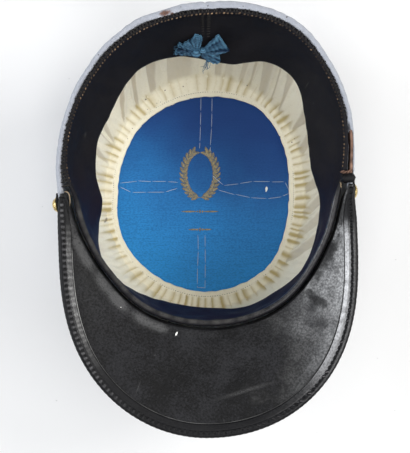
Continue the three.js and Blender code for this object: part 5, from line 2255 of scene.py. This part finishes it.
@dataclass
class Studio:
    """The pale floor, the soft lights and the camera, which looks straight down."""

    camera_height: float = 850.0
    camera_y: float = -22.0
    focal_px: float = 1269.0
    image: tuple[int, int] = (410, 453)
    sensor: float = 36.0
    floor_half: float = 900.0
    floor: Colour = (0.85, 0.85, 0.85)
    floor_cloud: float = 0.985  # how dark the floor's clouds are
    speck: Colour = (0.4, 0.4, 0.4)
    sky: Colour = (1.0, 1.0, 1.0)
    sky_strength: float = 0.1
    specks: tuple[Spot, ...] = (
        Spot(115.5, -110.3, 0.8, 0.6), Spot(75.0, -159.9, 0.7, 0.5), Spot(127.1, -145.2, 0.9, 0.6),
        Spot(127.7, -44.2, 0.7, 0.5), Spot(-99.5, -138.6, 0.8, 0.6), Spot(-108.9, -8.6, 0.6, 0.5),
        Spot(-91.0, 77.0, 0.7, 0.4),
    )
    lamps: tuple[Lamp, ...] = (
        Lamp("overhead", (0.08, 0.16, 1.4), 0.8, 4.0),
        Lamp("key", (0.95, 0.35, 0.95), 0.6, 10.2, (1.0, 0.99, 0.97)),
        Lamp("fill", (0.9, -0.45, 0.95), 0.6, 4.6),
        Lamp("front", (-0.05, -0.75, 1.3), 0.6, 6.0),
        Lamp("window", (-1.15, -0.05, 0.6), 0.7, 7.7, (0.93, 0.96, 1.0)),
        Lamp("high_window", (-0.85, 0.25, 0.85), 0.6, 3.6, (0.95, 0.97, 1.0)),
    )

    def paper(self) -> None:
        """Makes the floor."""
        n = Nodes("paper")
        cloud = n.noise(60.0, 3.0)
        colour = cloud.mix(tuple(self.floor_cloud * part for part in self.floor), self.floor)
        colour = (n.spots(self.specks, cloud, 0.8) * 0.4).mix(colour, self.speck)
        finish = n.close(Base_Color=colour, Roughness=0.9, Specular_IOR_Level=0.1)
        half = self.floor_half * MM
        corners = [(-half, -half, 0), (half, -half, 0), (half, half, 0), (-half, half, 0)]
        mesh = bpy.data.meshes.new("floor")
        mesh.from_pydata(corners, [], [(0, 1, 2, 3)])
        mesh.materials.append(finish)
        floor = bpy.data.objects.new("floor", mesh)
        bpy.context.scene.collection.objects.link(floor)

    def build(self) -> None:
        """Sets up the camera, the sky, the lights and the floor."""
        scene = bpy.context.scene
        camera = bpy.data.cameras.new("camera")
        camera.sensor_width = self.sensor
        camera.lens = self.focal_px * self.sensor / max(self.image)
        viewer = bpy.data.objects.new("camera", camera)
        viewer.location = (0.0, self.camera_y * MM, self.camera_height * MM)
        scene.collection.objects.link(viewer)
        scene.camera = viewer
        world = bpy.data.worlds.new("sky")
        world.use_nodes = True
        sky = world.node_tree.nodes["Background"]
        sky.inputs["Color"].default_value = (*self.sky, 1.0)
        sky.inputs["Strength"].default_value = self.sky_strength
        scene.world = world
        scene.view_settings.view_transform = "Standard"
        for lamp in self.lamps:
            lamp.hang()
        self.paper()


def main() -> None:
    """Builds the studio and the kepi's sub-assemblies in order."""
    logging.basicConfig(level=logging.INFO, format="%(name)s: %(message)s")
    Studio().build()
    sweatband = Sweatband()
    for assembly in (ClothShell(), sweatband, Lining(), CrownLining(), Peak(), ChinStrap(), Bow(sweatband)):
        for piece in assembly.dress():
            log.info("%s: %s, %d faces", type(assembly).__name__, piece.name, len(piece.data.polygons))


if __name__ == "__main__":
    main()
